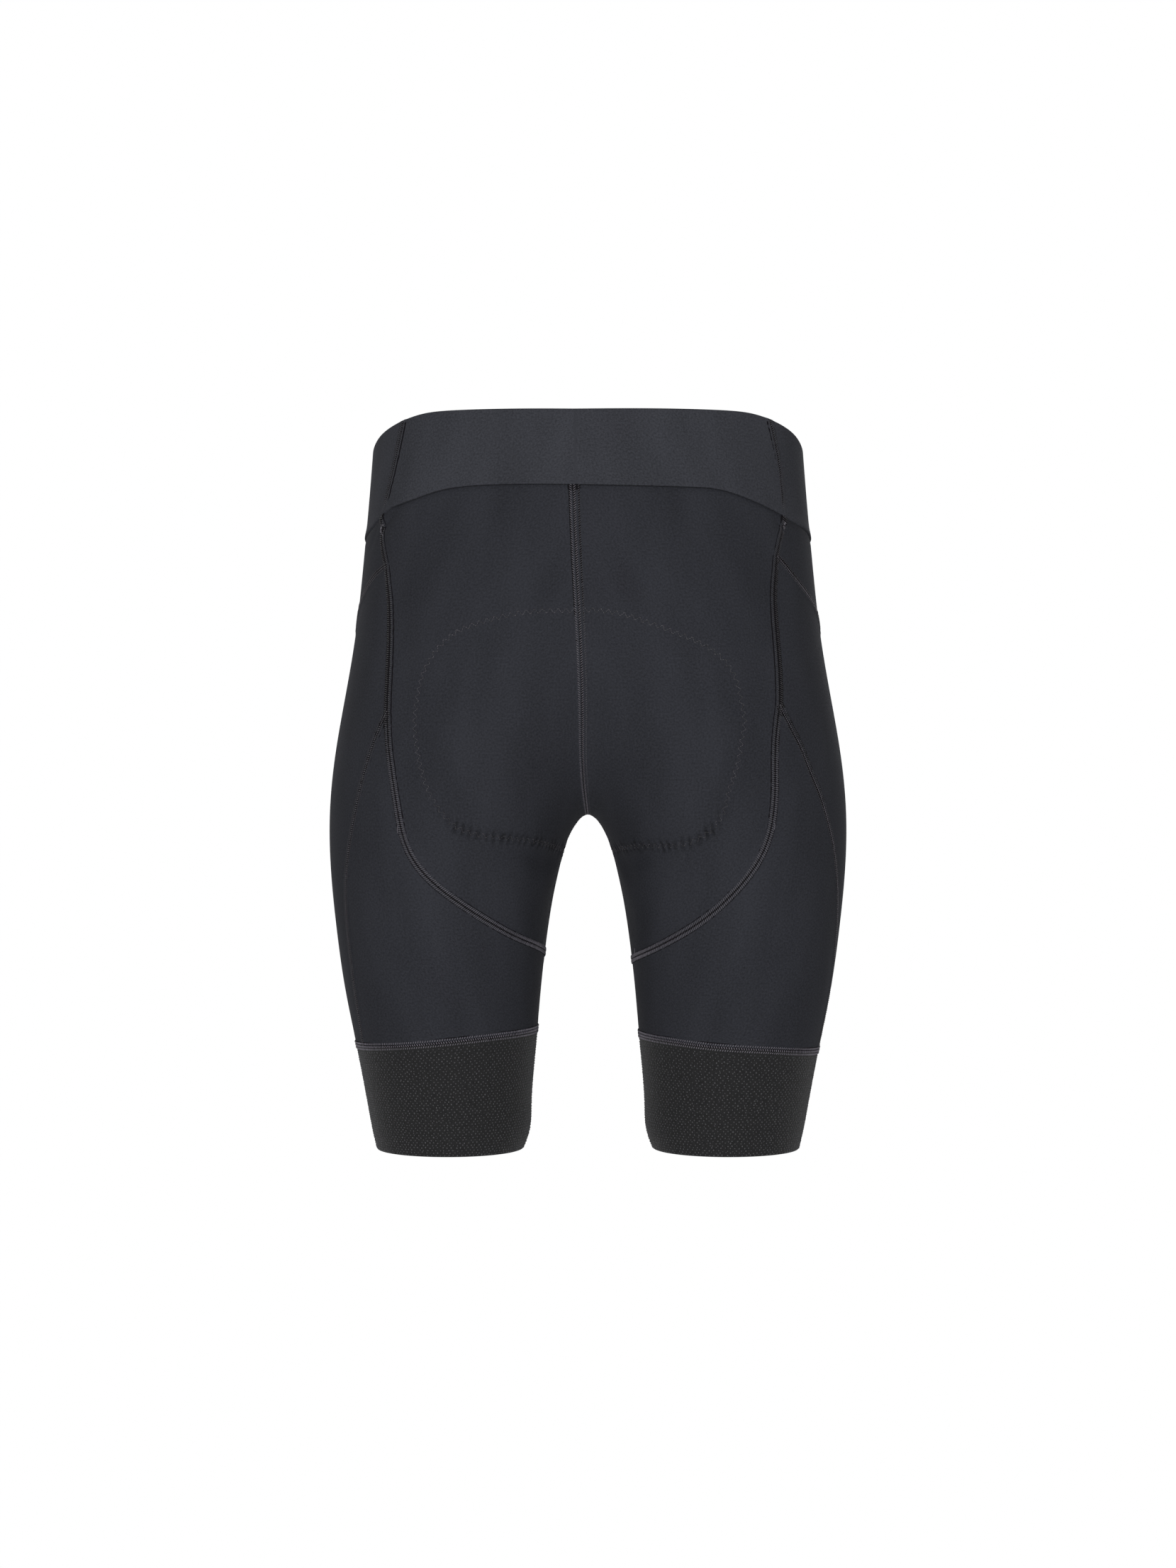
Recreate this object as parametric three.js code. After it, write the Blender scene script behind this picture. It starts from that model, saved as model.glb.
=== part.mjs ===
// Cycling shorts, filled out and hollow, in the form they take when worn.
// Millimetres, +Z up, the front faces -Y, the wearer's left is +X.
// The origin is the middle of the waist opening.
import * as THREE from 'three';

// Driving sizes
const CLOTH = 1.4;             // knitted panels
const DOUBLED = 2.0;           // waistband, two layers folded at the rim
const BAND_CLOTH = 1.6;        // elastic knit of the leg bands
const SEAM_GAP = 0.3;          // between neighbouring pieces
const CROTCH = -250.5;         // height where the four body panels meet
const CROTCH_CURVE = 10;       // how softly the two legs run together there
const HEM = -480;

const INK = 0x323438;          // matte warp knit
const INK_WAIST = 0x36383c;    // the same knit, doubled
const INK_BAND = 0x292929;     // coarser knit of the leg bands

// Horizontal sections of the left half, from above the rim down to the hem.
// side: the outermost line. middle: the line the half turns about. inner: the edge towards
// the other leg, which runs past the centre above the crotch. depth: where side and inner lie.
// back and front: how far the cloth reaches. full: how much fuller than an ellipse.
const SECTIONS = [
  { height: 20, side: 145.4, middle: 10, inner: -235, depth: 0, back: 99.5, front: -96, full: 0.0 },
  { height: -30, side: 149, middle: 19, inner: -200, depth: 1, back: 106.5, front: -103, full: 0.005 },
  { height: -80, side: 153.3, middle: 36, inner: -152, depth: 2.5, back: 114.5, front: -108.5, full: 0.015 },
  { height: -130, side: 158.6, middle: 54, inner: -102, depth: 4.5, back: 122.5, front: -111.5, full: 0.03 },
  { height: -170, side: 165.2, middle: 67, inner: -62, depth: 6, back: 124.5, front: -109, full: 0.04 },
  { height: -210, side: 172.2, middle: 78, inner: -20, depth: 6, back: 119.5, front: -104, full: 0.045 },
  { height: CROTCH, side: 176.2, middle: 87, inner: 10, depth: 4, back: 108, front: -97.5, full: 0.05 },
  { height: -290, side: 175.6, middle: 95.5, inner: 22.5, depth: 1, back: 97.5, front: -93.5, full: 0.05 },
  { height: -330, side: 171.9, middle: 99, inner: 29.3, depth: -2, back: 87.5, front: -90, full: 0.045 },
  { height: -370, side: 166.4, middle: 99.4, inner: 33.8, depth: -4.5, back: 77, front: -85, full: 0.04 },
  { height: -410, side: 158.5, middle: 97.8, inner: 37.2, depth: -6.5, back: 66.5, front: -78, full: 0.035 },
  { height: -450, side: 151, middle: 95.6, inner: 40.2, depth: -8, back: 57, front: -70.5, full: 0.03 },
  { height: -470, side: 147.2, middle: 94.8, inner: 42, depth: -8.5, back: 53, front: -67, full: 0.03 },
  { height: HEM, side: 144.8, middle: 94.8, inner: 45.6, depth: -8.5, back: 51, front: -65, full: 0.03 },
];

// Seams are laid out as on the cloth. round: along the cloth from the side line, + towards the
// back. Each side of the garment has its own rows, since its seams were not sewn quite alike.

// The waistband stands high at the back. rim: height of its upper edge. left and right: height of
// the seam below it on each side of the garment.
const WAIST_HALF = 205;        // from the side line to the centre, along the rim
const WAIST = [
  { round: -WAIST_HALF, rim: -14, left: -66, right: -66 },
  { round: -110, rim: -11, left: -66, right: -66 },
  { round: 0, rim: -6, left: -64, right: -64 },
  { round: 20, rim: -1, left: -61.6, right: -61.6 },
  { round: 40, rim: 4.6, left: -58.5, right: -58.8 },
  { round: 60, rim: 9.5, left: -51.2, right: -56 },
  { round: 75, rim: 12.8, left: -45.9, right: -52.2 },
  { round: 90, rim: 15.3, left: -42.6, right: -46.9 },
  { round: 105, rim: 16.1, left: -38.8, right: -42 },
  { round: 120, rim: 16.2, left: -36, right: -37.7 },
  { round: 145, rim: 16.2, left: -34.5, right: -35.7 },
  { round: WAIST_HALF, rim: 15.8, left: -34.5, right: -34.5 },
];
// The side seams that part the waistband's back from its front, as round at three heights.
const WAIST_SIDE = {
  left: { top: 71.5, middle: 66.8, bottom: 60.3 },
  right: { top: 74.3, middle: 70.1, bottom: 73.7 },
};

// The centre back seam leans towards the wearer's left, by lean, and comes back at the crotch.
const CENTRE_BACK = [
  { height: 20, lean: 9.4 },
  { height: -35, lean: 9.2 },
  { height: -96, lean: 6.9 },
  { height: -135, lean: 5 },
  { height: -190, lean: 3.7 },
  { height: -225, lean: 3 },
  { height: CROTCH, lean: 0 },
];

// The inseam lies forward of the innermost line of the leg.
const INSEAM = [
  { height: CROTCH, forward: 0 },
  { height: -262, forward: 9 },
  { height: -285, forward: 18 },
  { height: -320, forward: 24 },
  { height: -400, forward: 25 },
  { height: HEM, forward: 24 },
];

const SEAMS = {
  left: {
    seatToHip: [
      { height: -51.4, round: 60.3 },
      { height: -58.4, round: 62.7 },
      { height: -66.5, round: 65.1 },
      { height: -76.6, round: 70.9 },
      { height: -85.7, round: 77.3 },
    ],
    seatToThigh: [
      { height: -85.7, round: 77.3 },
      { height: -105.8, round: 86.9 },
      { height: -134, round: 96 },
      { height: -158, round: 101.3 },
      { height: -182, round: 105.4 },
    ],
    seatToInseam: [
      { height: -182, round: 105.4 },
      { height: -208, round: 110 },
      { height: -245, round: 114 },
      { height: -266, round: 117 },
      { height: -280, round: 122.5 },
      { height: -292, round: 131 },
      { height: -303, round: 142 },
      { height: -312, round: 153 },
      { height: -321, round: 166 },
      { height: -330, round: 183 },
      { height: -337.5, round: 208 },
      { height: -343, round: 236 },
      { height: -348, round: 272 },
    ],
    hip: [
      { height: -85.7, round: 77.3 },
      { height: -90.6, round: 65 },
      { height: -97.7, round: 51.8 },
      { height: -105.7, round: 36.5 },
      { height: -126, round: 0 },
      { height: -143, round: -29 },
      { height: -165, round: -50 },
    ],
    sideFront: [
      { height: -165, round: -50 },
      { height: -205, round: -68 },
      { height: -260, round: -77 },
      { height: -320, round: -76 },
      { height: -370, round: -70 },
      { height: -404, round: -64 },
    ],
    outerThigh: [
      { height: -182, round: 105.4 },
      { height: -195, round: 99.5 },
      { height: -215, round: 90 },
      { height: -240, round: 78.8 },
      { height: -265, round: 69 },
      { height: -290, round: 60.5 },
      { height: -312, round: 54.8 },
      { height: -345, round: 50 },
      { height: -385, round: 43.5 },
      { height: -406, round: 38 },
    ],
  },
  right: {
    seatToHip: [
      { height: -52.4, round: 73.7 },
      { height: -58.5, round: 75.5 },
      { height: -65.6, round: 81.1 },
      { height: -72.6, round: 85.7 },
      { height: -79.7, round: 89.7 },
    ],
    seatToThigh: [
      { height: -79.7, round: 89.7 },
      { height: -103, round: 98.9 },
      { height: -130, round: 104.9 },
      { height: -155, round: 109 },
      { height: -178, round: 113.1 },
    ],
    seatToInseam: [
      { height: -178, round: 113.1 },
      { height: -203, round: 119 },
      { height: -235, round: 118 },
      { height: -262, round: 119 },
      { height: -278, round: 124 },
      { height: -294, round: 133 },
      { height: -309, round: 144.5 },
      { height: -320, round: 155.5 },
      { height: -330, round: 170 },
      { height: -338.5, round: 188 },
      { height: -346, round: 216 },
      { height: -353, round: 269.5 },
    ],
    hip: [
      { height: -79.7, round: 89.7 },
      { height: -87.7, round: 81.1 },
      { height: -94.7, round: 72.2 },
      { height: -102.2, round: 59.4 },
      { height: -108.8, round: 43.8 },
      { height: -127, round: 0 },
      { height: -143, round: -29 },
      { height: -165, round: -50 },
    ],
    sideFront: [
      { height: -165, round: -50 },
      { height: -205, round: -68 },
      { height: -260, round: -77 },
      { height: -320, round: -76 },
      { height: -370, round: -70 },
      { height: -406, round: -64 },
    ],
    outerThigh: [
      { height: -178, round: 113.1 },
      { height: -191, round: 107 },
      { height: -204, round: 98.5 },
      { height: -220, round: 89 },
      { height: -237, round: 76.7 },
      { height: -254, round: 66.5 },
      { height: -270, round: 57.5 },
      { height: -290, round: 48.5 },
      { height: -312, round: 39 },
      { height: -340, round: 29.5 },
      { height: -370, round: 22.5 },
      { height: -411, round: 19 },
    ],
  },
};

// Height of the seam above the leg band, by distance from the centre plane.
const BAND_SEAM = [
  { across: 30, left: -397.5, right: -401 },
  { across: 55, left: -398.3, right: -402.2 },
  { across: 73, left: -399.5, right: -403.8 },
  { across: 93, left: -401.4, right: -405.4 },
  { across: 113, left: -403.4, right: -406.6 },
  { across: 135, left: -405.6, right: -408.8 },
  { across: 165, left: -408.8, right: -412.8 },
];

// Cells along each stretch of seam. Neighbours share them, so their edges run alike.
const SEAT_TO_HIP = 2;
const SEAT_TO_THIGH = 8;
const SEAT_TO_INSEAM = 14;
const OUTER_THIGH = 12;
const HIP = 11;
const UPPER_INSEAM = 8;        // crotch to seat seam, and as many across the seat
const LOWER_INSEAM = OUTER_THIGH;
const SIDE_FRONT = SEAT_TO_THIGH + OUTER_THIGH;
const CENTRE_BACK_CELLS = SEAT_TO_HIP + SEAT_TO_THIGH + SEAT_TO_INSEAM;
const CENTRE_FRONT_CELLS = HIP + SIDE_FRONT - UPPER_INSEAM - LOWER_INSEAM;
const WAIST_FRONT = 16;
const BAND_FRONT = WAIST_FRONT + SEAT_TO_HIP;
const WAISTBAND_DOWN = 3;
const BAND_DOWN = 5;

// Curves through tables

// A natural cubic spline through points whose x rises.
function spline(points) {
  const n = points.length;
  const [xs, ys] = [points.map((p) => p[0]), points.map((p) => p[1])];
  const width = xs.slice(1).map((x, i) => x - xs[i]);
  const slope = width.map((w, i) => (ys[i + 1] - ys[i]) / w);
  const [ratio, bend] = [new Array(n).fill(0), new Array(n).fill(0)];
  for (let i = 1; i < n - 1; i++) {
    const pivot = 2 * (width[i - 1] + width[i]) - width[i - 1] * ratio[i - 1];
    ratio[i] = width[i] / pivot;
    bend[i] = (6 * (slope[i] - slope[i - 1]) - width[i - 1] * bend[i - 1]) / pivot;
  }
  for (let i = n - 2; i > 0; i--) bend[i] -= ratio[i] * bend[i + 1];
  return (x) => {
    let i = 0;
    while (i < n - 2 && x > xs[i + 1]) i++;
    const t = x - xs[i];
    const start = slope[i] - (width[i] * (2 * bend[i] + bend[i + 1])) / 6;
    return ys[i] + t * (start + t * (bend[i] / 2 + (t * (bend[i + 1] - bend[i])) / (6 * width[i])));
  };
}

function tableSpline(rows, key, value) {
  const points = rows.map((row) => [row[key], row[value]]);
  return spline(points.sort((a, b) => a[0] - b[0]));
}

const SECTION_COLUMNS = ['side', 'middle', 'inner', 'depth', 'back', 'front', 'full'];
const sectionSplines = SECTION_COLUMNS.map((name) => tableSpline(SECTIONS, 'height', name));
const centreLean = tableSpline(CENTRE_BACK, 'height', 'lean');
const inseamForward = tableSpline(INSEAM, 'height', 'forward');
const rimHeight = tableSpline(WAIST, 'round', 'rim');

// The surface

// The section at a height, as the numbers that its two axes need.
function sectionAt(height) {
  const [side, middle, inner, depth, back, front, full] = sectionSplines.map((f) => f(height));
  const outward = Math.hypot(side, CROTCH_CURVE) - middle;
  const inward = middle - inner;
  return {
    middle, depth, full,
    halfWidth: (outward + inward) / 2, widthSkew: (outward - inward) / 2,
    halfDepth: (back - front) / 2, depthSkew: (back + front) / 2 - depth,
  };
}

// A point of the section: turn 0 is the side, a quarter turn the back. reach is the distance
// from the centre plane, rounded off near it by CROTCH_CURVE, which makes the crotch a saddle.
function sectionPoint(section, turn) {
  const [c, s] = [Math.cos(turn), Math.sin(turn)];
  const { middle, depth, full, halfWidth, widthSkew, halfDepth, depthSkew } = section;
  return {
    reach: middle + halfWidth * c * (1 + full * s * s) + widthSkew * c * c,
    y: depth + halfDepth * s * (1 + full * c * c) + depthSkew * s * s,
  };
}

function acrossAt(reach) {
  return Math.sqrt(Math.max(reach * reach - CROTCH_CURVE * CROTCH_CURVE, 0));
}

// The turn at which a section above the crotch meets the centre plane, by halving.
const SHORT_OF_CENTRE = 1.5;   // radians, on the near side of the centre at every height
const HALVINGS = 48;

function centreTurn(section) {
  let [low, high] = [SHORT_OF_CENTRE, Math.PI];
  for (let i = 0; i < HALVINGS; i++) {
    const turn = (low + high) / 2;
    if (sectionPoint(section, turn).reach > CROTCH_CURVE) low = turn;
    else high = turn;
  }
  return high;
}

// Lengths along the cloth at one height, from the side line.
const SECTION_STEPS = 320;
const PAST_INNERMOST = 1.2;    // radians of leg measured past its innermost line
const measuredSections = new Map();

function measureSection(height) {
  if (measuredSections.has(height)) return measuredSections.get(height);
  const section = sectionAt(height);
  const torso = height > CROTCH;
  const centre = torso ? centreTurn(section) : Math.PI;
  const [turns, rounds] = [[], [0]];
  for (let i = 0; i <= SECTION_STEPS; i++) {
    const share = i / SECTION_STEPS;
    const onTorso = -centre * Math.cos(Math.PI * share);
    turns.push(torso ? onTorso : -Math.PI + share * (2 * Math.PI + PAST_INNERMOST));
  }
  const points = turns.map((turn) => {
    const { reach, y } = sectionPoint(section, turn);
    return [acrossAt(reach), y];
  });
  for (let i = 1; i < points.length; i++) {
    const step = Math.hypot(points[i][0] - points[i - 1][0], points[i][1] - points[i - 1][1]);
    rounds.push(rounds[i - 1] + step);
  }
  const zero = interpolate(turns, rounds, 0);
  const measured = {
    section, turns, torso,
    rounds: rounds.map((r) => r - zero),
    toFront: zero,
    toBack: interpolate(turns, rounds, centre) - zero,
  };
  measuredSections.set(height, measured);
  return measured;
}

function interpolate(xs, ys, x) {
  let [low, high] = [0, xs.length - 1];
  while (high - low > 1) {
    const mid = (low + high) >> 1;
    if (xs[mid] > x) high = mid;
    else low = mid;
  }
  return ys[low] + ((ys[high] - ys[low]) * (x - xs[low])) / (xs[high] - xs[low]);
}

const backRound = (height) => measureSection(height).toBack;
const frontRound = (height) => measureSection(height).toFront;
const girth = (height) => backRound(height) + frontRound(height);

// The outer surface and its outward normal, at a length along the cloth and a height.
function clothAt(round, height) {
  const { section, turns, rounds, torso, toBack } = measureSection(height);
  const beyond = torso && round > toBack;
  const turn = interpolate(rounds, turns, beyond ? 2 * toBack - round : round);
  const { reach, y } = sectionPoint(section, turn);
  const x = acrossAt(reach);
  const [small, rise] = [1e-4, 0.05];
  const ahead = sectionPoint(section, turn + small);
  const [higher, lower] = [height + rise, height - rise].map((h) => sectionPoint(sectionAt(h), turn));
  const [reachTurn, yTurn] = [(ahead.reach - reach) / small, (ahead.y - y) / small];
  const reachRise = (higher.reach - lower.reach) / (2 * rise);
  const yRise = (higher.y - lower.y) / (2 * rise);
  const mirror = beyond ? -1 : 1;
  return {
    point: new THREE.Vector3(mirror * x, y, height),
    normal: new THREE.Vector3(
      (mirror * yTurn * x) / reach, -reachTurn, reachTurn * yRise - yTurn * reachRise).normalize(),
  };
}

// Seams

// Cuts a seam, given as a function of 0 to 1, into cells of equal length on the cloth.
const SEAM_STEPS = 240;

function cutEvenly(seam, cells) {
  const places = [];
  const lengths = [0];
  for (let i = 0; i <= SEAM_STEPS; i++) places.push(seam(i / SEAM_STEPS));
  const points = places.map((p) => clothAt(p.round, p.height).point);
  for (let i = 1; i <= SEAM_STEPS; i++) lengths.push(lengths[i - 1] + points[i].distanceTo(points[i - 1]));
  const shares = lengths.map((_, i) => i / SEAM_STEPS);
  const cut = [];
  for (let i = 0; i <= cells; i++) {
    cut.push(seam(interpolate(lengths, shares, (lengths[SEAM_STEPS] * i) / cells)));
  }
  return cut;
}

// A seam through the rows of a table.
function tableSeam(rows) {
  const travelled = [0];
  for (let i = 1; i < rows.length; i++) {
    const step = Math.hypot(rows[i].round - rows[i - 1].round, rows[i].height - rows[i - 1].height);
    travelled.push(travelled[i - 1] + step);
  }
  const total = travelled[rows.length - 1];
  const round = spline(rows.map((row, i) => [travelled[i] / total, row.round]));
  const height = spline(rows.map((row, i) => [travelled[i] / total, row.height]));
  return (t) => ({ round: round(t), height: height(t) });
}

const mix = (a, b, t) => a + (b - a) * t;

// Places at a height on the centre seams and the inseam. mirror is -1 on the wearer's right.
function onCentreBack(height, mirror) {
  return { round: backRound(height) - mirror * centreLean(height), height };
}

function onCentreFront(height) {
  return { round: -frontRound(height), height };
}

function onInseam(height) {
  return { round: backRound(height) + inseamForward(height), height };
}

// From the waist down to the crotch, with short steps where the seam turns under.
const centreBackSeam = (top, mirror) => (t) => onCentreBack(mix(CROTCH, top, (1 - t) ** 2), mirror);
const centreFrontSeam = (top) => (t) => onCentreFront(mix(CROTCH, top, (1 - t) ** 2));
const inseam = (top, bottom) => (t) => onInseam(mix(top, bottom, top === CROTCH ? t * t : t));

// The same places counted from the side line by way of the front.
const byTheFront = (places) => places.map((p) => ({ round: p.round - girth(p.height), height: p.height }));

// A run at a height that follows from the place, as the waist and leg band seams have.
function runAlong(from, to, heightAt) {
  return (t) => {
    const round = mix(from.round, to.round, t);
    return { round, height: heightAt(round) };
  };
}

function straight(from, to) {
  return (t) => ({ round: mix(from.round, to.round, t), height: mix(from.height, to.height, t) });
}

// Walls

// Fills a net between four seams: top and bottom have the same number of places, and so have
// first and last, which run down its two sides.
function netBetween(top, bottom, first, last) {
  const [across, down] = [top.length - 1, first.length - 1];
  const fill = (key, i, j) => {
    const [u, v] = [i / across, j / down];
    const above = mix(top[0][key], top[across][key], u);
    const below = mix(bottom[0][key], bottom[across][key], u);
    const between = mix(top[i][key], bottom[i][key], v) + mix(first[j][key], last[j][key], u);
    return between - mix(above, below, v);
  };
  const place = (i, j) => ({ round: fill('round', i, j), height: fill('height', i, j) });
  return first.map((_, j) => top.map((_, i) => place(i, j)));
}

// Evens out the inside of a net whose plain filling folds over itself, as it does where its
// seams turn inwards. Each place settles among its neighbours as in a stretched elastic sheet.
const EVENING_PASSES = 60;

function evenedOut(net) {
  const even = net.map((row) => row.map((place) => ({ ...place })));
  const half = (a, b) => ({ round: (b.round - a.round) / 2, height: (b.height - a.height) / 2 });
  const dot = (a, b) => a.round * b.round + a.height * b.height;
  for (let pass = 0; pass < EVENING_PASSES; pass++) {
    for (let j = 1; j < even.length - 1; j++) {
      const [above, row, below] = [even[j - 1], even[j], even[j + 1]];
      for (let i = 1; i < row.length - 1; i++) {
        const over = half(row[i - 1], row[i + 1]);
        const down = half(above[i], below[i]);
        const [a, b, c] = [dot(down, down), dot(down, over), dot(over, over)];
        for (const key of ['round', 'height']) {
          const beside = row[i - 1][key] + row[i + 1][key];
          const upright = above[i][key] + below[i][key];
          const corners = below[i + 1][key] - below[i - 1][key] - above[i + 1][key] + above[i - 1][key];
          row[i][key] = (a * beside + c * upright - (b * corners) / 2) / (2 * (a + c));
        }
      }
    }
  }
  return even;
}

// Puts a net on the surface. mirror -1 makes the wearer's right side.
function layOnCloth(net, mirror) {
  return net.map((row) => row.map(({ round, height }) => {
    const { point, normal } = clothAt(round, height);
    point.x *= mirror;
    normal.x *= mirror;
    return { point, normal };
  }));
}

// Draws the open edges of a net of points back by half a seam gap, within the cloth.
function drawBackEdges(grid, closed) {
  const [rows, columns] = [grid.length, grid[0].length];
  const between = (a, b) => b.point.clone().sub(a.point);
  const inwardFrom = (here, before, after, inside) => {
    const along = between(before, after);
    const inward = new THREE.Vector3().crossVectors(here.normal, along).normalize();
    return inward.dot(between(here, inside)) < 0 ? inward.negate() : inward;
  };
  const shifts = [];
  grid.forEach((row, j) => row.forEach((here, i) => {
    const pulls = [];
    const [above, below] = [grid[Math.max(j - 1, 0)][i], grid[Math.min(j + 1, rows - 1)][i]];
    const [left, right] = closed
      ? [row[(i + columns - 1) % columns], row[(i + 1) % columns]]
      : [row[Math.max(i - 1, 0)], row[Math.min(i + 1, columns - 1)]];
    if (j === 0) pulls.push(inwardFrom(here, left, right, below));
    if (j === rows - 1) pulls.push(inwardFrom(here, left, right, above));
    if (!closed && i === 0) pulls.push(inwardFrom(here, above, below, right));
    if (!closed && i === columns - 1) pulls.push(inwardFrom(here, above, below, left));
    if (pulls.length === 0) return;
    // At a corner the point moves along both pulls, until it is clear of both edges.
    const corner = pulls.length === 2;
    const share = corner ? 1 + pulls[0].dot(pulls[1]) : 1;
    const shift = corner ? pulls[0].clone().add(pulls[1]) : pulls[0];
    shifts.push([here, shift.multiplyScalar(SEAM_GAP / 2 / share)]);
  }));
  shifts.forEach(([here, shift]) => here.point.add(shift));
}

// Whether a net's rows and columns turn the way that its outward normals need.
function turnsOutward(grid) {
  const j = grid.length >> 1;
  const i = grid[0].length >> 1;
  const along = grid[j][i].point.clone().sub(grid[j][i - 1].point);
  const down = grid[j][i].point.clone().sub(grid[j - 1][i].point);
  return along.cross(down).dot(grid[j][i].normal) > 0;
}

// Makes a closed wall from a net of outer points, its thickness laid inwards.
function wallGeometry(grid, thickness, closed) {
  const [rows, columns] = [grid.length, grid[0].length];
  const count = rows * columns;
  const outward = turnsOutward(grid);
  const positions = [];
  grid.flat().forEach(({ point }) => positions.push(point.x, point.y, point.z));
  grid.flat().forEach(({ point, normal }) => {
    const inside = point.clone().addScaledVector(normal, -thickness);
    positions.push(inside.x, inside.y, inside.z);
  });
  const indices = [];
  const quad = (a, b, c, d) => {
    if (outward) indices.push(a, b, c, a, c, d);
    else indices.push(a, c, b, a, d, c);
  };
  const at = (i, j) => j * columns + (i % columns);
  const cellsAcross = closed ? columns : columns - 1;
  for (let j = 0; j < rows - 1; j++) {
    for (let i = 0; i < cellsAcross; i++) {
      const [a, b, c, d] = [at(i, j), at(i + 1, j), at(i + 1, j + 1), at(i, j + 1)];
      quad(a, b, c, d);
      quad(a + count, d + count, c + count, b + count);
    }
  }
  for (let i = 0; i < cellsAcross; i++) {
    const [a, b, c, d] = [at(i, 0), at(i + 1, 0), at(i, rows - 1), at(i + 1, rows - 1)];
    quad(b, a, a + count, b + count);
    quad(c, d, d + count, c + count);
  }
  if (!closed) {
    for (let j = 0; j < rows - 1; j++) {
      const [a, b, c, d] = [at(0, j), at(0, j + 1), at(columns - 1, j), at(columns - 1, j + 1)];
      quad(a, b, b + count, a + count);
      quad(d, c, c + count, d + count);
    }
  }
  const geometry = new THREE.BufferGeometry();
  geometry.setAttribute('position', new THREE.Float32BufferAttribute(positions, 3));
  geometry.setIndex(indices);
  geometry.computeVertexNormals();
  return geometry;
}

const PANEL = { thickness: CLOTH, color: INK, roughness: 0.85, closed: false };
const WAISTBAND = { thickness: DOUBLED, color: INK_WAIST, roughness: 0.85, closed: false };
const LEG_BAND = { thickness: BAND_CLOTH, color: INK_BAND, roughness: 0.9, closed: true };

function pieceOfCloth(name, grid, { thickness, color, roughness, closed }) {
  drawBackEdges(grid, closed);
  const material = new THREE.MeshStandardMaterial({ color, roughness, metalness: 0 });
  const piece = new THREE.Mesh(wallGeometry(grid, thickness, closed), material);
  piece.name = name;
  return piece;
}

// Repeats a look-up whose place depends on its own result, until it settles.
const SETTLING = 12;

function settle(start, next) {
  let value = start;
  for (let i = 0; i < SETTLING; i++) value = next(value);
  return value;
}

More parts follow.
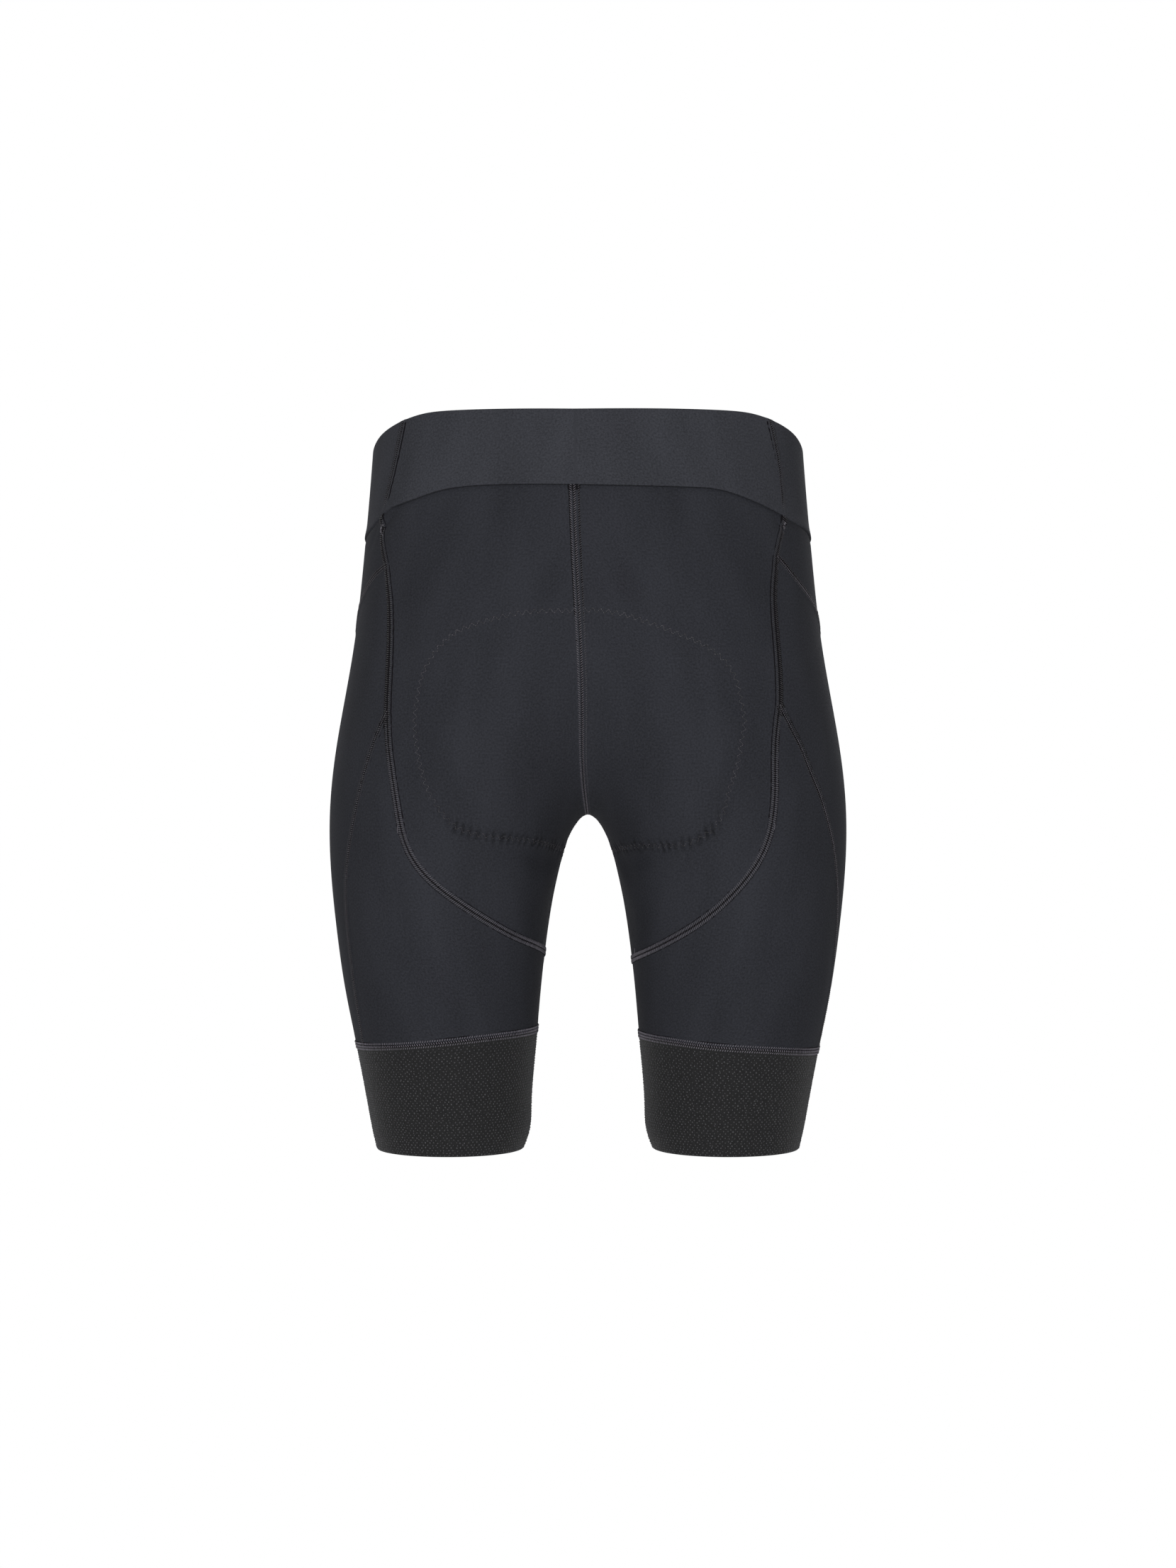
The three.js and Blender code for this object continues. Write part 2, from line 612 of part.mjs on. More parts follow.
// The seams of one side of the garment
function cutSide(side) {
  const mirror = side === 'left' ? 1 : -1;
  const table = SEAMS[side];
  const waistSide = WAIST_SIDE[side];
  const waistSeam = tableSpline(WAIST, 'round', side);
  const bandSeam = tableSpline(BAND_SEAM, 'across', side);
  const bandStart = BAND_SEAM[0][side];
  const bandSeamAt = ({ round, height }) => bandSeam(Math.abs(clothAt(round, height).point.x));
  const bandHeight = (round) => settle(bandStart, (height) => bandSeamAt({ round, height }));

  // Places where seams meet
  const rim = (round) => ({ round, height: rimHeight(round) });
  const rimBackEnd = onCentreBack(rimHeight(WAIST_HALF), mirror);
  const rimFrontEnd = onCentreFront(rimHeight(-WAIST_HALF));
  const backTop = onCentreBack(waistSeam(WAIST_HALF), mirror);
  const frontTop = onCentreFront(waistSeam(-WAIST_HALF));
  const waistEnd = { round: waistSide.bottom, height: waistSeam(waistSide.bottom) };
  const seatEnd = onInseam(table.seatToInseam.at(-1).height);
  const onBand = (round) => ({ round, height: bandHeight(round) });
  const thighEnd = onBand(table.outerThigh.at(-1).round);
  const frontEnd = onBand(table.sideFront.at(-1).round);
  const inseamEnd = onInseam(settle(bandStart, (height) => bandSeamAt(onInseam(height))));

  // Table seams are begun and ended on the seams that they meet.
  const startAt = (rows, place) => [place, ...rows.slice(1)];
  const endAt = (rows, place) => [...rows.slice(0, -1), place];
  const halfway = (rimHeight(waistSide.top) + waistEnd.height) / 2;
  const waistSideRows = [rim(waistSide.top), { round: waistSide.middle, height: halfway }, waistEnd];

  const seams = {
    centreBack: cutEvenly(centreBackSeam(backTop.height, mirror), CENTRE_BACK_CELLS),
    centreFront: cutEvenly(centreFrontSeam(frontTop.height), CENTRE_FRONT_CELLS),
    seatToHip: cutEvenly(tableSeam(startAt(table.seatToHip, waistEnd)), SEAT_TO_HIP),
    seatToThigh: cutEvenly(tableSeam(table.seatToThigh), SEAT_TO_THIGH),
    seatToInseam: cutEvenly(tableSeam(endAt(table.seatToInseam, seatEnd)), SEAT_TO_INSEAM),
    hip: cutEvenly(tableSeam(table.hip), HIP),
    sideFront: cutEvenly(tableSeam(endAt(table.sideFront, frontEnd)), SIDE_FRONT),
    outerThigh: cutEvenly(tableSeam(endAt(table.outerThigh, thighEnd)), OUTER_THIGH),
    upperInseam: cutEvenly(inseam(CROTCH, seatEnd.height), UPPER_INSEAM),
    lowerInseam: cutEvenly(inseam(seatEnd.height, inseamEnd.height), LOWER_INSEAM),
    waistBack: cutEvenly(runAlong(backTop, waistEnd, waistSeam), UPPER_INSEAM),
    waistFront: cutEvenly(runAlong(frontTop, waistEnd, waistSeam), WAIST_FRONT),
    rimBack: cutEvenly(runAlong(rimBackEnd, rim(waistSide.top), rimHeight), UPPER_INSEAM),
    rimFront: cutEvenly(runAlong(rimFrontEnd, rim(waistSide.top), rimHeight), WAIST_FRONT),
    waistSide: cutEvenly(tableSeam(waistSideRows), WAISTBAND_DOWN),
    waistCentreBack: cutEvenly(straight(rimBackEnd, backTop), WAISTBAND_DOWN),
    waistCentreFront: cutEvenly(straight(rimFrontEnd, frontTop), WAISTBAND_DOWN),
    bandBack: cutEvenly(runAlong(inseamEnd, thighEnd, bandHeight), SEAT_TO_INSEAM),
    bandSide: cutEvenly(runAlong(thighEnd, frontEnd, bandHeight), HIP),
    bandFront: cutEvenly(runAlong(byTheFront([inseamEnd])[0], frontEnd, bandHeight), BAND_FRONT),
  };
  return { side, mirror, seams };
}

const joined = (...runs) => runs.flatMap((run, i) => (i === 0 ? run : run.slice(1)));
const backwards = (run) => [...run].reverse();

// The seat runs from the centre back seam out to the seat seam and under to the inseam.
function seat({ side, mirror, seams }) {
  const outer = joined(seams.seatToHip, seams.seatToThigh, seams.seatToInseam);
  const net = netBetween(seams.waistBack, seams.upperInseam, seams.centreBack, outer);
  return pieceOfCloth(`seat_${side}`, layOnCloth(net, mirror), PANEL);
}

// The back of the thigh lies below the seat seam and wraps the inner thigh.
function backThigh({ side, mirror, seams }) {
  const top = backwards(seams.seatToInseam);
  const net = netBetween(top, seams.bandBack, seams.lowerInseam, seams.outerThigh);
  return pieceOfCloth(`back_thigh_${side}`, layOnCloth(net, mirror), PANEL);
}

// The side runs down from the hip seam between the outer thigh seam and the side front seam.
function sidePanel({ side, mirror, seams }) {
  const back = joined(seams.seatToThigh, seams.outerThigh);
  const net = netBetween(seams.hip, seams.bandSide, back, seams.sideFront);
  return pieceOfCloth(`side_${side}`, layOnCloth(net, mirror), PANEL);
}

// The front reaches round the hip to the seat seam, and down to the leg band and inseam.
function frontPanel({ side, mirror, seams }) {
  const top = joined(seams.waistFront, seams.seatToHip);
  const inner = joined(seams.centreFront, byTheFront(seams.upperInseam), byTheFront(seams.lowerInseam));
  const net = netBetween(top, seams.bandFront, inner, joined(seams.hip, seams.sideFront));
  return pieceOfCloth(`front_${side}`, layOnCloth(evenedOut(net), mirror), PANEL);
}

// The leg band is a knitted tube, cut square at the hem.
function legBand({ side, mirror, seams }) {
  const top = joined(backwards(seams.bandBack), seams.bandFront, backwards(seams.bandSide)).slice(0, -1);
  const net = [];
  for (let j = 0; j <= BAND_DOWN; j++) {
    net.push(top.map((place) => {
      const height = mix(place.height, HEM, j / BAND_DOWN);
      const reachRound = place.round > 0 ? backRound : frontRound;
      return { round: (place.round * reachRound(height)) / reachRound(place.height), height };
    }));
  }
  return pieceOfCloth(`leg_band_${side}`, layOnCloth(net, mirror), LEG_BAND);
}

// The waistband's back and front, each from one side seam round to the other
function waistband(name, netOf) {
  const [leftGrid, rightGrid] = [left, right].map((cut) => layOnCloth(netOf(cut.seams), cut.mirror));
  const grid = leftGrid.map((row, j) => [...backwards(row), ...rightGrid[j].slice(1)]);
  return pieceOfCloth(name, grid, WAISTBAND);
}

const waistbandBackNet = (seams) => (
  netBetween(seams.rimBack, seams.waistBack, seams.waistCentreBack, seams.waistSide));
const waistbandFrontNet = (seams) => (
  netBetween(seams.rimFront, seams.waistFront, seams.waistCentreFront, seams.waistSide));

const left = cutSide('left');
const right = cutSide('right');

const shorts = new THREE.Group();
shorts.name = 'shorts';
shorts.add(
  waistband('waistband_back', waistbandBackNet),
  waistband('waistband_front', waistbandFrontNet),
);
for (const cut of [left, right]) {
  shorts.add(seat(cut), backThigh(cut), sidePanel(cut), frontPanel(cut), legBand(cut));
}

export default shorts;
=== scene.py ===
"""Cycling shorts, filled out and hollow: knit panels, flat seams and leg bands over the frame.

The cloth is worked out in millimetres. round is the length along the cloth from the side line,
with + towards the back, and height is the height above the middle of the waist opening.
"""

import math

import bmesh
import bpy
import numpy as np
from bpy.props import FloatProperty, FloatVectorProperty, PointerProperty
from bpy.types import Operator, Panel, PropertyGroup
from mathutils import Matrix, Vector
from mathutils.kdtree import KDTree


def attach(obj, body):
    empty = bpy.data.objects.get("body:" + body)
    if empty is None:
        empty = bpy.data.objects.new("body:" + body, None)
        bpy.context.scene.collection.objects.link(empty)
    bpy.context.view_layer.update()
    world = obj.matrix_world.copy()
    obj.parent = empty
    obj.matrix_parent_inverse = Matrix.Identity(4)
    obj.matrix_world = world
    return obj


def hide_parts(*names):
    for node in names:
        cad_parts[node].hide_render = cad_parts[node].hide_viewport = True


bl_info = {
    "name": "Cycling shorts",
    "version": (1, 0, 0),
    "blender": (4, 5, 0),
    "location": "3D View > Sidebar > Shorts",
    "description": "Makes the knit panels, seams and leg bands of a pair of cycling shorts",
    "category": "Object",
}

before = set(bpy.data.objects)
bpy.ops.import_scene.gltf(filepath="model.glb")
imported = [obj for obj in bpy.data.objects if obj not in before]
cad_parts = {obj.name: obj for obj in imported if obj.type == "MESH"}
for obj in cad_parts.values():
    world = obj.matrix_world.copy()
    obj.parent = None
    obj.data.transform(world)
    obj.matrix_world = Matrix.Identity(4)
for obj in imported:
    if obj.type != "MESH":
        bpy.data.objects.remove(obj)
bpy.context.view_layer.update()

MM = 0.001

# Form of the cloth

CROTCH = -250.5  # height where the four body panels meet
CROTCH_CURVE = 10  # how softly the two legs run together there
HEM = -480
PANEL_THICKNESS = 1.4
WAIST_THICKNESS = 2.0
BAND_THICKNESS = 1.6

# Horizontal sections of one half. side: the outermost line. middle: the line the half turns
# about. inner: the edge towards the other leg. depth: where side and inner lie. back and front:
# how far the cloth reaches. full: how much fuller than an ellipse.
SECTION_COLUMNS = ("height", "side", "middle", "inner", "depth", "back", "front", "full")
SECTIONS = (
    (20, 145.4, 10, -235, 0, 99.5, -96, 0.0),
    (-30, 149, 19, -200, 1, 106.5, -103, 0.005),
    (-80, 153.3, 36, -152, 2.5, 114.5, -108.5, 0.015),
    (-130, 158.6, 54, -102, 4.5, 122.5, -111.5, 0.03),
    (-170, 165.2, 67, -62, 6, 124.5, -109, 0.04),
    (-210, 172.2, 78, -20, 6, 119.5, -104, 0.045),
    (CROTCH, 176.2, 87, 10, 4, 108, -97.5, 0.05),
    (-290, 175.6, 95.5, 22.5, 1, 97.5, -93.5, 0.05),
    (-330, 171.9, 99, 29.3, -2, 87.5, -90, 0.045),
    (-370, 166.4, 99.4, 33.8, -4.5, 77, -85, 0.04),
    (-410, 158.5, 97.8, 37.2, -6.5, 66.5, -78, 0.035),
    (-450, 151, 95.6, 40.2, -8, 57, -70.5, 0.03),
    (-470, 147.2, 94.8, 42, -8.5, 53, -67, 0.03),
    (HEM, 144.8, 94.8, 45.6, -8.5, 51, -65, 0.03),
)

# The waistband stands high at the back. rim: its upper edge. left, right: the seam below it.
WAIST_HALF = 205
WAIST_COLUMNS = ("round", "rim", "left", "right")
WAIST = (
    (-WAIST_HALF, -14, -66, -66),
    (-110, -11, -66, -66),
    (0, -6, -64, -64),
    (20, -1, -61.6, -61.6),
    (40, 4.6, -58.5, -58.8),
    (60, 9.5, -51.2, -56),
    (75, 12.8, -45.9, -52.2),
    (90, 15.3, -42.6, -46.9),
    (105, 16.1, -38.8, -42),
    (120, 16.2, -36, -37.7),
    (145, 16.2, -34.5, -35.7),
    (WAIST_HALF, 15.8, -34.5, -34.5),
)
# The waistband's side seams, as round at the rim, halfway and at the lower seam.
WAIST_SIDE = {"left": (71.5, 66.8, 60.3), "right": (74.3, 70.1, 73.7)}

# The centre back seam leans towards the wearer's left, as (height, lean).
CENTRE_BACK = ((20, 9.4), (-35, 9.2), (-96, 6.9), (-135, 5), (-190, 3.7), (-225, 3), (CROTCH, 0))
# The inseam lies forward of the innermost line of the leg, as (height, forward).
INSEAM = ((CROTCH, 0), (-262, 9), (-285, 18), (-320, 24), (-400, 25), (HEM, 24))
# Height of the seam above the leg band, by distance from the centre plane.
BAND_SEAM_COLUMNS = ("across", "left", "right")
BAND_SEAM = (
    (30, -397.5, -401),
    (55, -398.3, -402.2),
    (73, -399.5, -403.8),
    (93, -401.4, -405.4),
    (113, -403.4, -406.6),
    (135, -405.6, -408.8),
    (165, -408.8, -412.8),
)

# The seams that follow tables, as (height, round) from their upper ends.
SEAMS = {
    "left": {
        "seat_to_hip": ((-51.4, 60.3), (-58.4, 62.7), (-66.5, 65.1), (-76.6, 70.9), (-85.7, 77.3)),
        "seat_to_thigh": ((-85.7, 77.3), (-105.8, 86.9), (-134, 96), (-158, 101.3), (-182, 105.4)),
        "seat_to_inseam": (
            (-182, 105.4), (-208, 110), (-245, 114), (-266, 117), (-280, 122.5), (-292, 131),
            (-303, 142), (-312, 153), (-321, 166), (-330, 183), (-337.5, 208), (-343, 236),
            (-348, 272),
        ),
        "hip": (
            (-85.7, 77.3), (-90.6, 65), (-97.7, 51.8), (-105.7, 36.5), (-126, 0), (-143, -29),
            (-165, -50),
        ),
        "side_front": (
            (-165, -50), (-205, -68), (-260, -77), (-320, -76), (-370, -70), (-404, -64),
        ),
        "outer_thigh": (
            (-182, 105.4), (-195, 99.5), (-215, 90), (-240, 78.8), (-265, 69), (-290, 60.5),
            (-312, 54.8), (-345, 50), (-385, 43.5), (-406, 38),
        ),
    },
    "right": {
        "seat_to_hip": ((-52.4, 73.7), (-58.5, 75.5), (-65.6, 81.1), (-72.6, 85.7), (-79.7, 89.7)),
        "seat_to_thigh": ((-79.7, 89.7), (-103, 98.9), (-130, 104.9), (-155, 109), (-178, 113.1)),
        "seat_to_inseam": (
            (-178, 113.1), (-203, 119), (-235, 118), (-262, 119), (-278, 124), (-294, 133),
            (-309, 144.5), (-320, 155.5), (-330, 170), (-338.5, 188), (-346, 216), (-353, 269.5),
        ),
        "hip": (
            (-79.7, 89.7), (-87.7, 81.1), (-94.7, 72.2), (-102.2, 59.4), (-108.8, 43.8),
            (-127, 0), (-143, -29), (-165, -50),
        ),
        "side_front": (
            (-165, -50), (-205, -68), (-260, -77), (-320, -76), (-370, -70), (-406, -64),
        ),
        "outer_thigh": (
            (-178, 113.1), (-191, 107), (-204, 98.5), (-220, 89), (-237, 76.7), (-254, 66.5),
            (-270, 57.5), (-290, 48.5), (-312, 39), (-340, 29.5), (-370, 22.5), (-411, 19),
        ),
    },
}

# The zig-zag line that sews the inner pad to the seat, as (height, round) from the centre back.
PAD_BACK = {
    "left": (
        (-117.4, 228), (-117.6, 218), (-118.9, 189.5), (-124, 167.5), (-129.9, 151.5),
        (-137.6, 141.5), (-149, 134), (-160.5, 130), (-174.3, 128.5), (-190.4, 128.5),
        (-206.5, 131), (-222.6, 134), (-236.5, 138), (-248, 144), (-257.3, 152), (-263.4, 168),
        (-266.9, 200), (-272, 240), (-276, 285),
    ),
    "right": (
        (-117, 233), (-117.3, 225.5), (-120.7, 206.5), (-129.5, 183.5), (-134.6, 171.5),
        (-144.2, 155), (-155.6, 146), (-165.2, 143), (-176.7, 142), (-191.4, 141), (-199.7, 143),
        (-213.9, 145), (-226.8, 148), (-236.9, 150), (-245.7, 151), (-263.3, 162), (-269.9, 177),
        (-271.2, 203), (-273.3, 243), (-276, 285),
    ),
}
PAD_MIDDLE = -190  # height of the ring's widest place
# The same line on the hidden front, as (height, distance from the centre line).
PAD_FRONT = (
    (-276, 10), (-270, 22), (-258, 36), (-240, 45), (-215, 49), (-190, 48), (-170, 43),
    (-156, 33), (-148, 18), (-146, 0),
)


# Curves through tables


def spline(points):
    """A natural cubic spline through (x, y) points, as a function of an array."""
    points = sorted(points)
    xs, ys = np.array(points, float).T
    width = np.diff(xs)
    slope = np.diff(ys) / width
    matrix, right = np.eye(len(xs)), np.zeros(len(xs))
    for i in range(1, len(xs) - 1):
        matrix[i, i - 1 : i + 2] = width[i - 1], 2 * (width[i - 1] + width[i]), width[i]
        right[i] = 6 * (slope[i] - slope[i - 1])
    bend = np.linalg.solve(matrix, right)

    def at(x):
        x = np.asarray(x, float)
        i = np.clip(np.searchsorted(xs, x) - 1, 0, len(xs) - 2)
        t = x - xs[i]
        start = slope[i] - width[i] * (2 * bend[i] + bend[i + 1]) / 6
        curve = bend[i] / 2 + t * (bend[i + 1] - bend[i]) / (6 * width[i])
        return ys[i] + t * (start + t * curve)

    return at


def column_splines(rows, columns):
    """One spline for each column, by the first column."""
    return {
        name: spline([(row[0], row[k]) for row in rows])
        for k, name in enumerate(columns)
        if k > 0
    }


sections = column_splines(SECTIONS, SECTION_COLUMNS)
waist = column_splines(WAIST, WAIST_COLUMNS)
band_seam = column_splines(BAND_SEAM, BAND_SEAM_COLUMNS)
centre_lean = spline(CENTRE_BACK)
inseam_forward = spline(INSEAM)

# The surface


def section_at(height):
    """The numbers that a section's two axes need, for an array of heights."""
    s = {name: at(height) for name, at in sections.items()}
    outward = np.hypot(s["side"], CROTCH_CURVE) - s["middle"]
    inward = s["middle"] - s["inner"]
    return {
        "middle": s["middle"],
        "depth": s["depth"],
        "full": s["full"],
        "half_width": (outward + inward) / 2,
        "width_skew": (outward - inward) / 2,
        "half_depth": (s["back"] - s["front"]) / 2,
        "depth_skew": (s["back"] + s["front"]) / 2 - s["depth"],
    }


def section_point(section, turn):
    """Reach from the centre plane, and y. Turn 0 is the side, a quarter turn the back."""
    c, s = np.cos(turn), np.sin(turn)
    wide = section["half_width"] * c * (1 + section["full"] * s * s)
    deep = section["half_depth"] * s * (1 + section["full"] * c * c)
    reach = section["middle"] + wide + section["width_skew"] * c * c
    return reach, section["depth"] + deep + section["depth_skew"] * s * s


def across_at(reach):
    return np.sqrt(np.maximum(reach * reach - CROTCH_CURVE * CROTCH_CURVE, 0))


SHORT_OF_CENTRE = 1.5  # radians, on the near side of the centre at every height
HALVINGS = 40
SECTION_STEPS = 200
PAST_INNERMOST = 1.2  # radians of leg measured past its innermost line
TURN_STEP = 1e-4  # radians, for the cloth's slope round a section
RISE_STEP = 0.05  # for its slope upwards
CHUNK = 4000  # places worked out at a time


def centre_turn(height):
    """The turn at which a section above the crotch meets the centre plane."""
    section = section_at(height)
    low = np.full(height.shape, SHORT_OF_CENTRE)
    high = np.full(height.shape, math.pi)
    for _ in range(HALVINGS):
        turn = (low + high) / 2
        inside = section_point(section, turn)[0] > CROTCH_CURVE
        low, high = np.where(inside, turn, low), np.where(inside, high, turn)
    return high


def along_rows(xs, ys, x):
    """Linear interpolation at x in each row of xs and ys."""
    i = np.clip((xs <= x[:, None]).sum(1) - 1, 0, xs.shape[1] - 2)
    rows = np.arange(len(x))
    x0, x1 = xs[rows, i], xs[rows, i + 1]
    y0, y1 = ys[rows, i], ys[rows, i + 1]
    return y0 + (y1 - y0) * (x - x0) / (x1 - x0)


def measure(height):
    """Turns and lengths along the cloth for each height, and the lengths to back and front."""
    torso = height > CROTCH
    section = section_at(height[:, None])
    centre = np.where(torso, centre_turn(height), math.pi)
    share = np.linspace(0, 1, SECTION_STEPS + 1)
    on_torso = -centre[:, None] * np.cos(math.pi * share)
    on_leg = -math.pi + share * (2 * math.pi + PAST_INNERMOST)
    turns = np.where(torso[:, None], on_torso, on_leg)
    reach, y = section_point(section, turns)
    steps = np.hypot(np.diff(across_at(reach), axis=1), np.diff(y, axis=1))
    rounds = np.concatenate([np.zeros((len(height), 1)), np.cumsum(steps, axis=1)], axis=1)
    to_front = along_rows(turns, rounds, np.zeros(len(height)))
    to_back = along_rows(turns, rounds, centre) - to_front
    return torso, turns, rounds - to_front[:, None], to_back, to_front


def in_chunks(work, *arrays):
    """work on flat arrays, a chunk at a time, its results joined."""
    parts = [work(*(a[i : i + CHUNK] for a in arrays)) for i in range(0, len(arrays[0]), CHUNK)]
    return [np.concatenate(column) for column in zip(*parts)]


def half_lengths(height):
    """The lengths along the cloth from the side line to the centre back and centre front."""
    height = np.asarray(height, float)
    back, front = in_chunks(lambda h: measure(h)[3:5], height.ravel())
    return back.reshape(height.shape), front.reshape(height.shape)


def cloth_chunk(round_, height):
    """Outer points and normals of one chunk of places, on the wearer's left."""
    torso, turns, rounds, to_back, _ = measure(height)
    beyond = torso & (round_ > to_back)
    turn = along_rows(rounds, turns, np.where(beyond, 2 * to_back - round_, round_))
    section = section_at(height)
    reach, y = section_point(section, turn)
    reach_on, y_on = section_point(section, turn + TURN_STEP)
    reach_up, y_up = section_point(section_at(height + RISE_STEP), turn)
    reach_down, y_down = section_point(section_at(height - RISE_STEP), turn)
    reach_turn = (reach_on - reach) / TURN_STEP
    y_turn = (y_on - y) / TURN_STEP
    reach_rise = (reach_up - reach_down) / (2 * RISE_STEP)
    y_rise = (y_up - y_down) / (2 * RISE_STEP)
    mirror = np.where(beyond, -1.0, 1.0)
    x = across_at(reach)
    point = np.stack([mirror * x, y, height], 1)
    normal = np.stack(
        [mirror * y_turn * x / reach, -reach_turn, reach_turn * y_rise - y_turn * reach_rise], 1
    )
    return point, unit(normal)


def cloth_at(places, mirror=1):
    """Outer points and outward normals at (round, height) places, on one half of the cloth."""
    flat = places.reshape(-1, 2)
    shape = (*places.shape[:-1], 3)
    turned = np.array([mirror, 1, 1])
    point, normal = in_chunks(cloth_chunk, flat[:, 0], flat[:, 1])
    return (point * turned).reshape(shape), (normal * turned).reshape(shape)


# Seams, each an array of (round, height) places

SEAM_STEPS = 400
SETTLING = 12
RIM_CLEAR = 0.02  # share of the waistband's side seam left bare at the folded rim


def pairs(round_, height):
    return np.stack(np.broadcast_arrays(round_, height), -1).astype(float)


def unit(v):
    return v / np.linalg.norm(v, axis=-1, keepdims=True)


def lengths_along(points):
    steps = np.linalg.norm(np.diff(points, axis=0), axis=1)
    return np.concatenate([[0.0], np.cumsum(steps)])


def cut_evenly(seam, cells):
    """Cuts a seam, given as a function of 0 to 1, into cells of equal length on the cloth."""
    shares = np.linspace(0, 1, SEAM_STEPS + 1)
    travelled = lengths_along(cloth_at(seam(shares))[0])
    return seam(np.interp(np.linspace(0, travelled[-1], cells + 1), travelled, shares))


def table_seam(rows):
    """A seam through (height, round) rows."""
    heights, rounds = np.array(rows, float).T
    travelled = lengths_along(np.stack([rounds, heights], 1))
    share = travelled / travelled[-1]
    round_at, height_at = spline(list(zip(share, rounds))), spline(list(zip(share, heights)))
    return lambda t: pairs(round_at(t), height_at(t))


def mix(a, b, t):
    return a + (b - a) * t


def on_centre_back(height, mirror):
    return pairs(half_lengths(height)[0] - mirror * centre_lean(height), height)


def on_centre_front(height):
    return pairs(-half_lengths(height)[1], height)


def on_inseam(height):
    return pairs(half_lengths(height)[0] + inseam_forward(height), height)


def by_the_front(places):
    """The same places counted from the side line by way of the front."""
    back, front = half_lengths(places[:, 1])
    return pairs(places[:, 0] - back - front, places[:, 1])


def straight(start, end):
    return lambda t: mix(start, end, np.asarray(t)[:, None])


def joined(*runs):
    return np.concatenate([run if i == 0 else run[1:] for i, run in enumerate(runs)])


def settle(start, step):
    """The value that a step no longer changes."""
    value = start
    for _ in range(SETTLING):
        value = step(value)
    return value


def seam_along(start, end, height_of):
    """A seam from one round to another, at the height that each place asks for."""

    def seam(t):
        round_ = mix(start, end, np.asarray(t))
        return pairs(round_, height_of(round_))

    return seam


def seam_down(place_of, upper, lower, eased):
    """A seam from one height to another, through the place at each height."""

    def seam(t):
        return place_of(mix(upper, lower, eased(np.asarray(t, float))))

    return seam


def evenly(t):
    return t


def slow_start(t):
    return t * t


def slow_end(t):
    return 1 - (1 - t) ** 2


class Side:
    """One half of the garment: its seams, as functions of 0 to 1 that return places."""

    def __init__(self, name):
        self.name = name
        self.mirror = 1 if name == "left" else -1
        table = {key: list(rows) for key, rows in SEAMS[name].items()}
        waist_seam, rim = waist[name], waist["rim"]
        top, halfway, bottom = WAIST_SIDE[name]
        rim_end = (float(rim(top)), top)
        waist_end = (float(waist_seam(bottom)), bottom)
        seat_end = table["seat_to_inseam"][-1][0]
        band_top = float(BAND_SEAM[0][1])

        def band_height(round_):
            def step(height):
                return band_seam[name](np.abs(cloth_at(pairs(round_, height))[0][..., 0]))

            return settle(np.full(np.shape(round_), band_top), step)

        def inseam_step(height):
            return band_seam[name](np.abs(cloth_at(on_inseam(height))[0][..., 0]))

        def on_band(round_):
            return (float(band_height(np.array([float(round_)]))[0]), round_)

        def on_back(height):
            return on_centre_back(height, self.mirror)

        inseam_end = float(settle(np.array([band_top]), inseam_step)[0])
        at_inseam = on_inseam(np.array([seat_end]))[0]
        table["seat_to_hip"][0] = waist_end
        table["seat_to_inseam"][-1] = (at_inseam[1], at_inseam[0])
        for key in ("outer_thigh", "side_front"):
            table[key][-1] = on_band(table[key][-1][1])
        thigh_round, front_round = table["outer_thigh"][-1][1], table["side_front"][-1][1]
        band_inseam = on_inseam(np.array([inseam_end]))
        back_top, front_top = float(waist_seam(WAIST_HALF)), float(waist_seam(-WAIST_HALF))
        back_rim = on_back(np.array([float(rim(WAIST_HALF))]))[0]
        back_low = on_back(np.array([back_top]))[0]
        front_rim = on_centre_front(np.array([float(rim(-WAIST_HALF))]))[0]
        front_low = on_centre_front(np.array([front_top]))[0]
        waist_side = [rim_end, ((rim_end[0] + waist_end[0]) / 2, halfway), waist_end]
        self.seams = {key: table_seam(rows) for key, rows in table.items()}
        self.seams.update(
            centre_back=seam_down(on_back, back_top, CROTCH, slow_end),
            centre_front=seam_down(on_centre_front, front_top, CROTCH, slow_end),
            upper_inseam=seam_down(on_inseam, CROTCH, seat_end, slow_start),
            lower_inseam=seam_down(on_inseam, seat_end, inseam_end, evenly),
            waist_back=seam_along(back_low[0], bottom, waist_seam),
            waist_front=seam_along(front_low[0], bottom, waist_seam),
            rim_back=seam_along(back_rim[0], top, rim),
            rim_front=seam_along(front_rim[0], top, rim),
            waist_side=table_seam(waist_side),
            waist_centre_back=straight(back_rim, back_low),
            waist_centre_front=straight(front_rim, front_low),
            band_back=seam_along(band_inseam[0, 0], thigh_round, band_height),
            band_side=seam_along(thigh_round, front_round, band_height),
            band_front=seam_along(by_the_front(band_inseam)[0, 0], front_round, band_height),
        )

    def cut(self, name, cells):
        return cut_evenly(self.seams[name], cells)


left, right = Side("left"), Side("right")
SIDES = (left, right)


def net_between(top, bottom, first, last):
    """Fills a net between four runs of places; first and last run down its two sides."""
    u = np.linspace(0, 1, len(top))[None, :, None]
    v = np.linspace(0, 1, len(first))[:, None, None]
    corners = mix(mix(top[0], top[-1], u), mix(bottom[0], bottom[-1], u), v)
    return mix(top[None], bottom[None], v) + mix(first[:, None], last[:, None], u) - corners


EVENING_PASSES = 200  # enough for the finest net of a front to come to rest


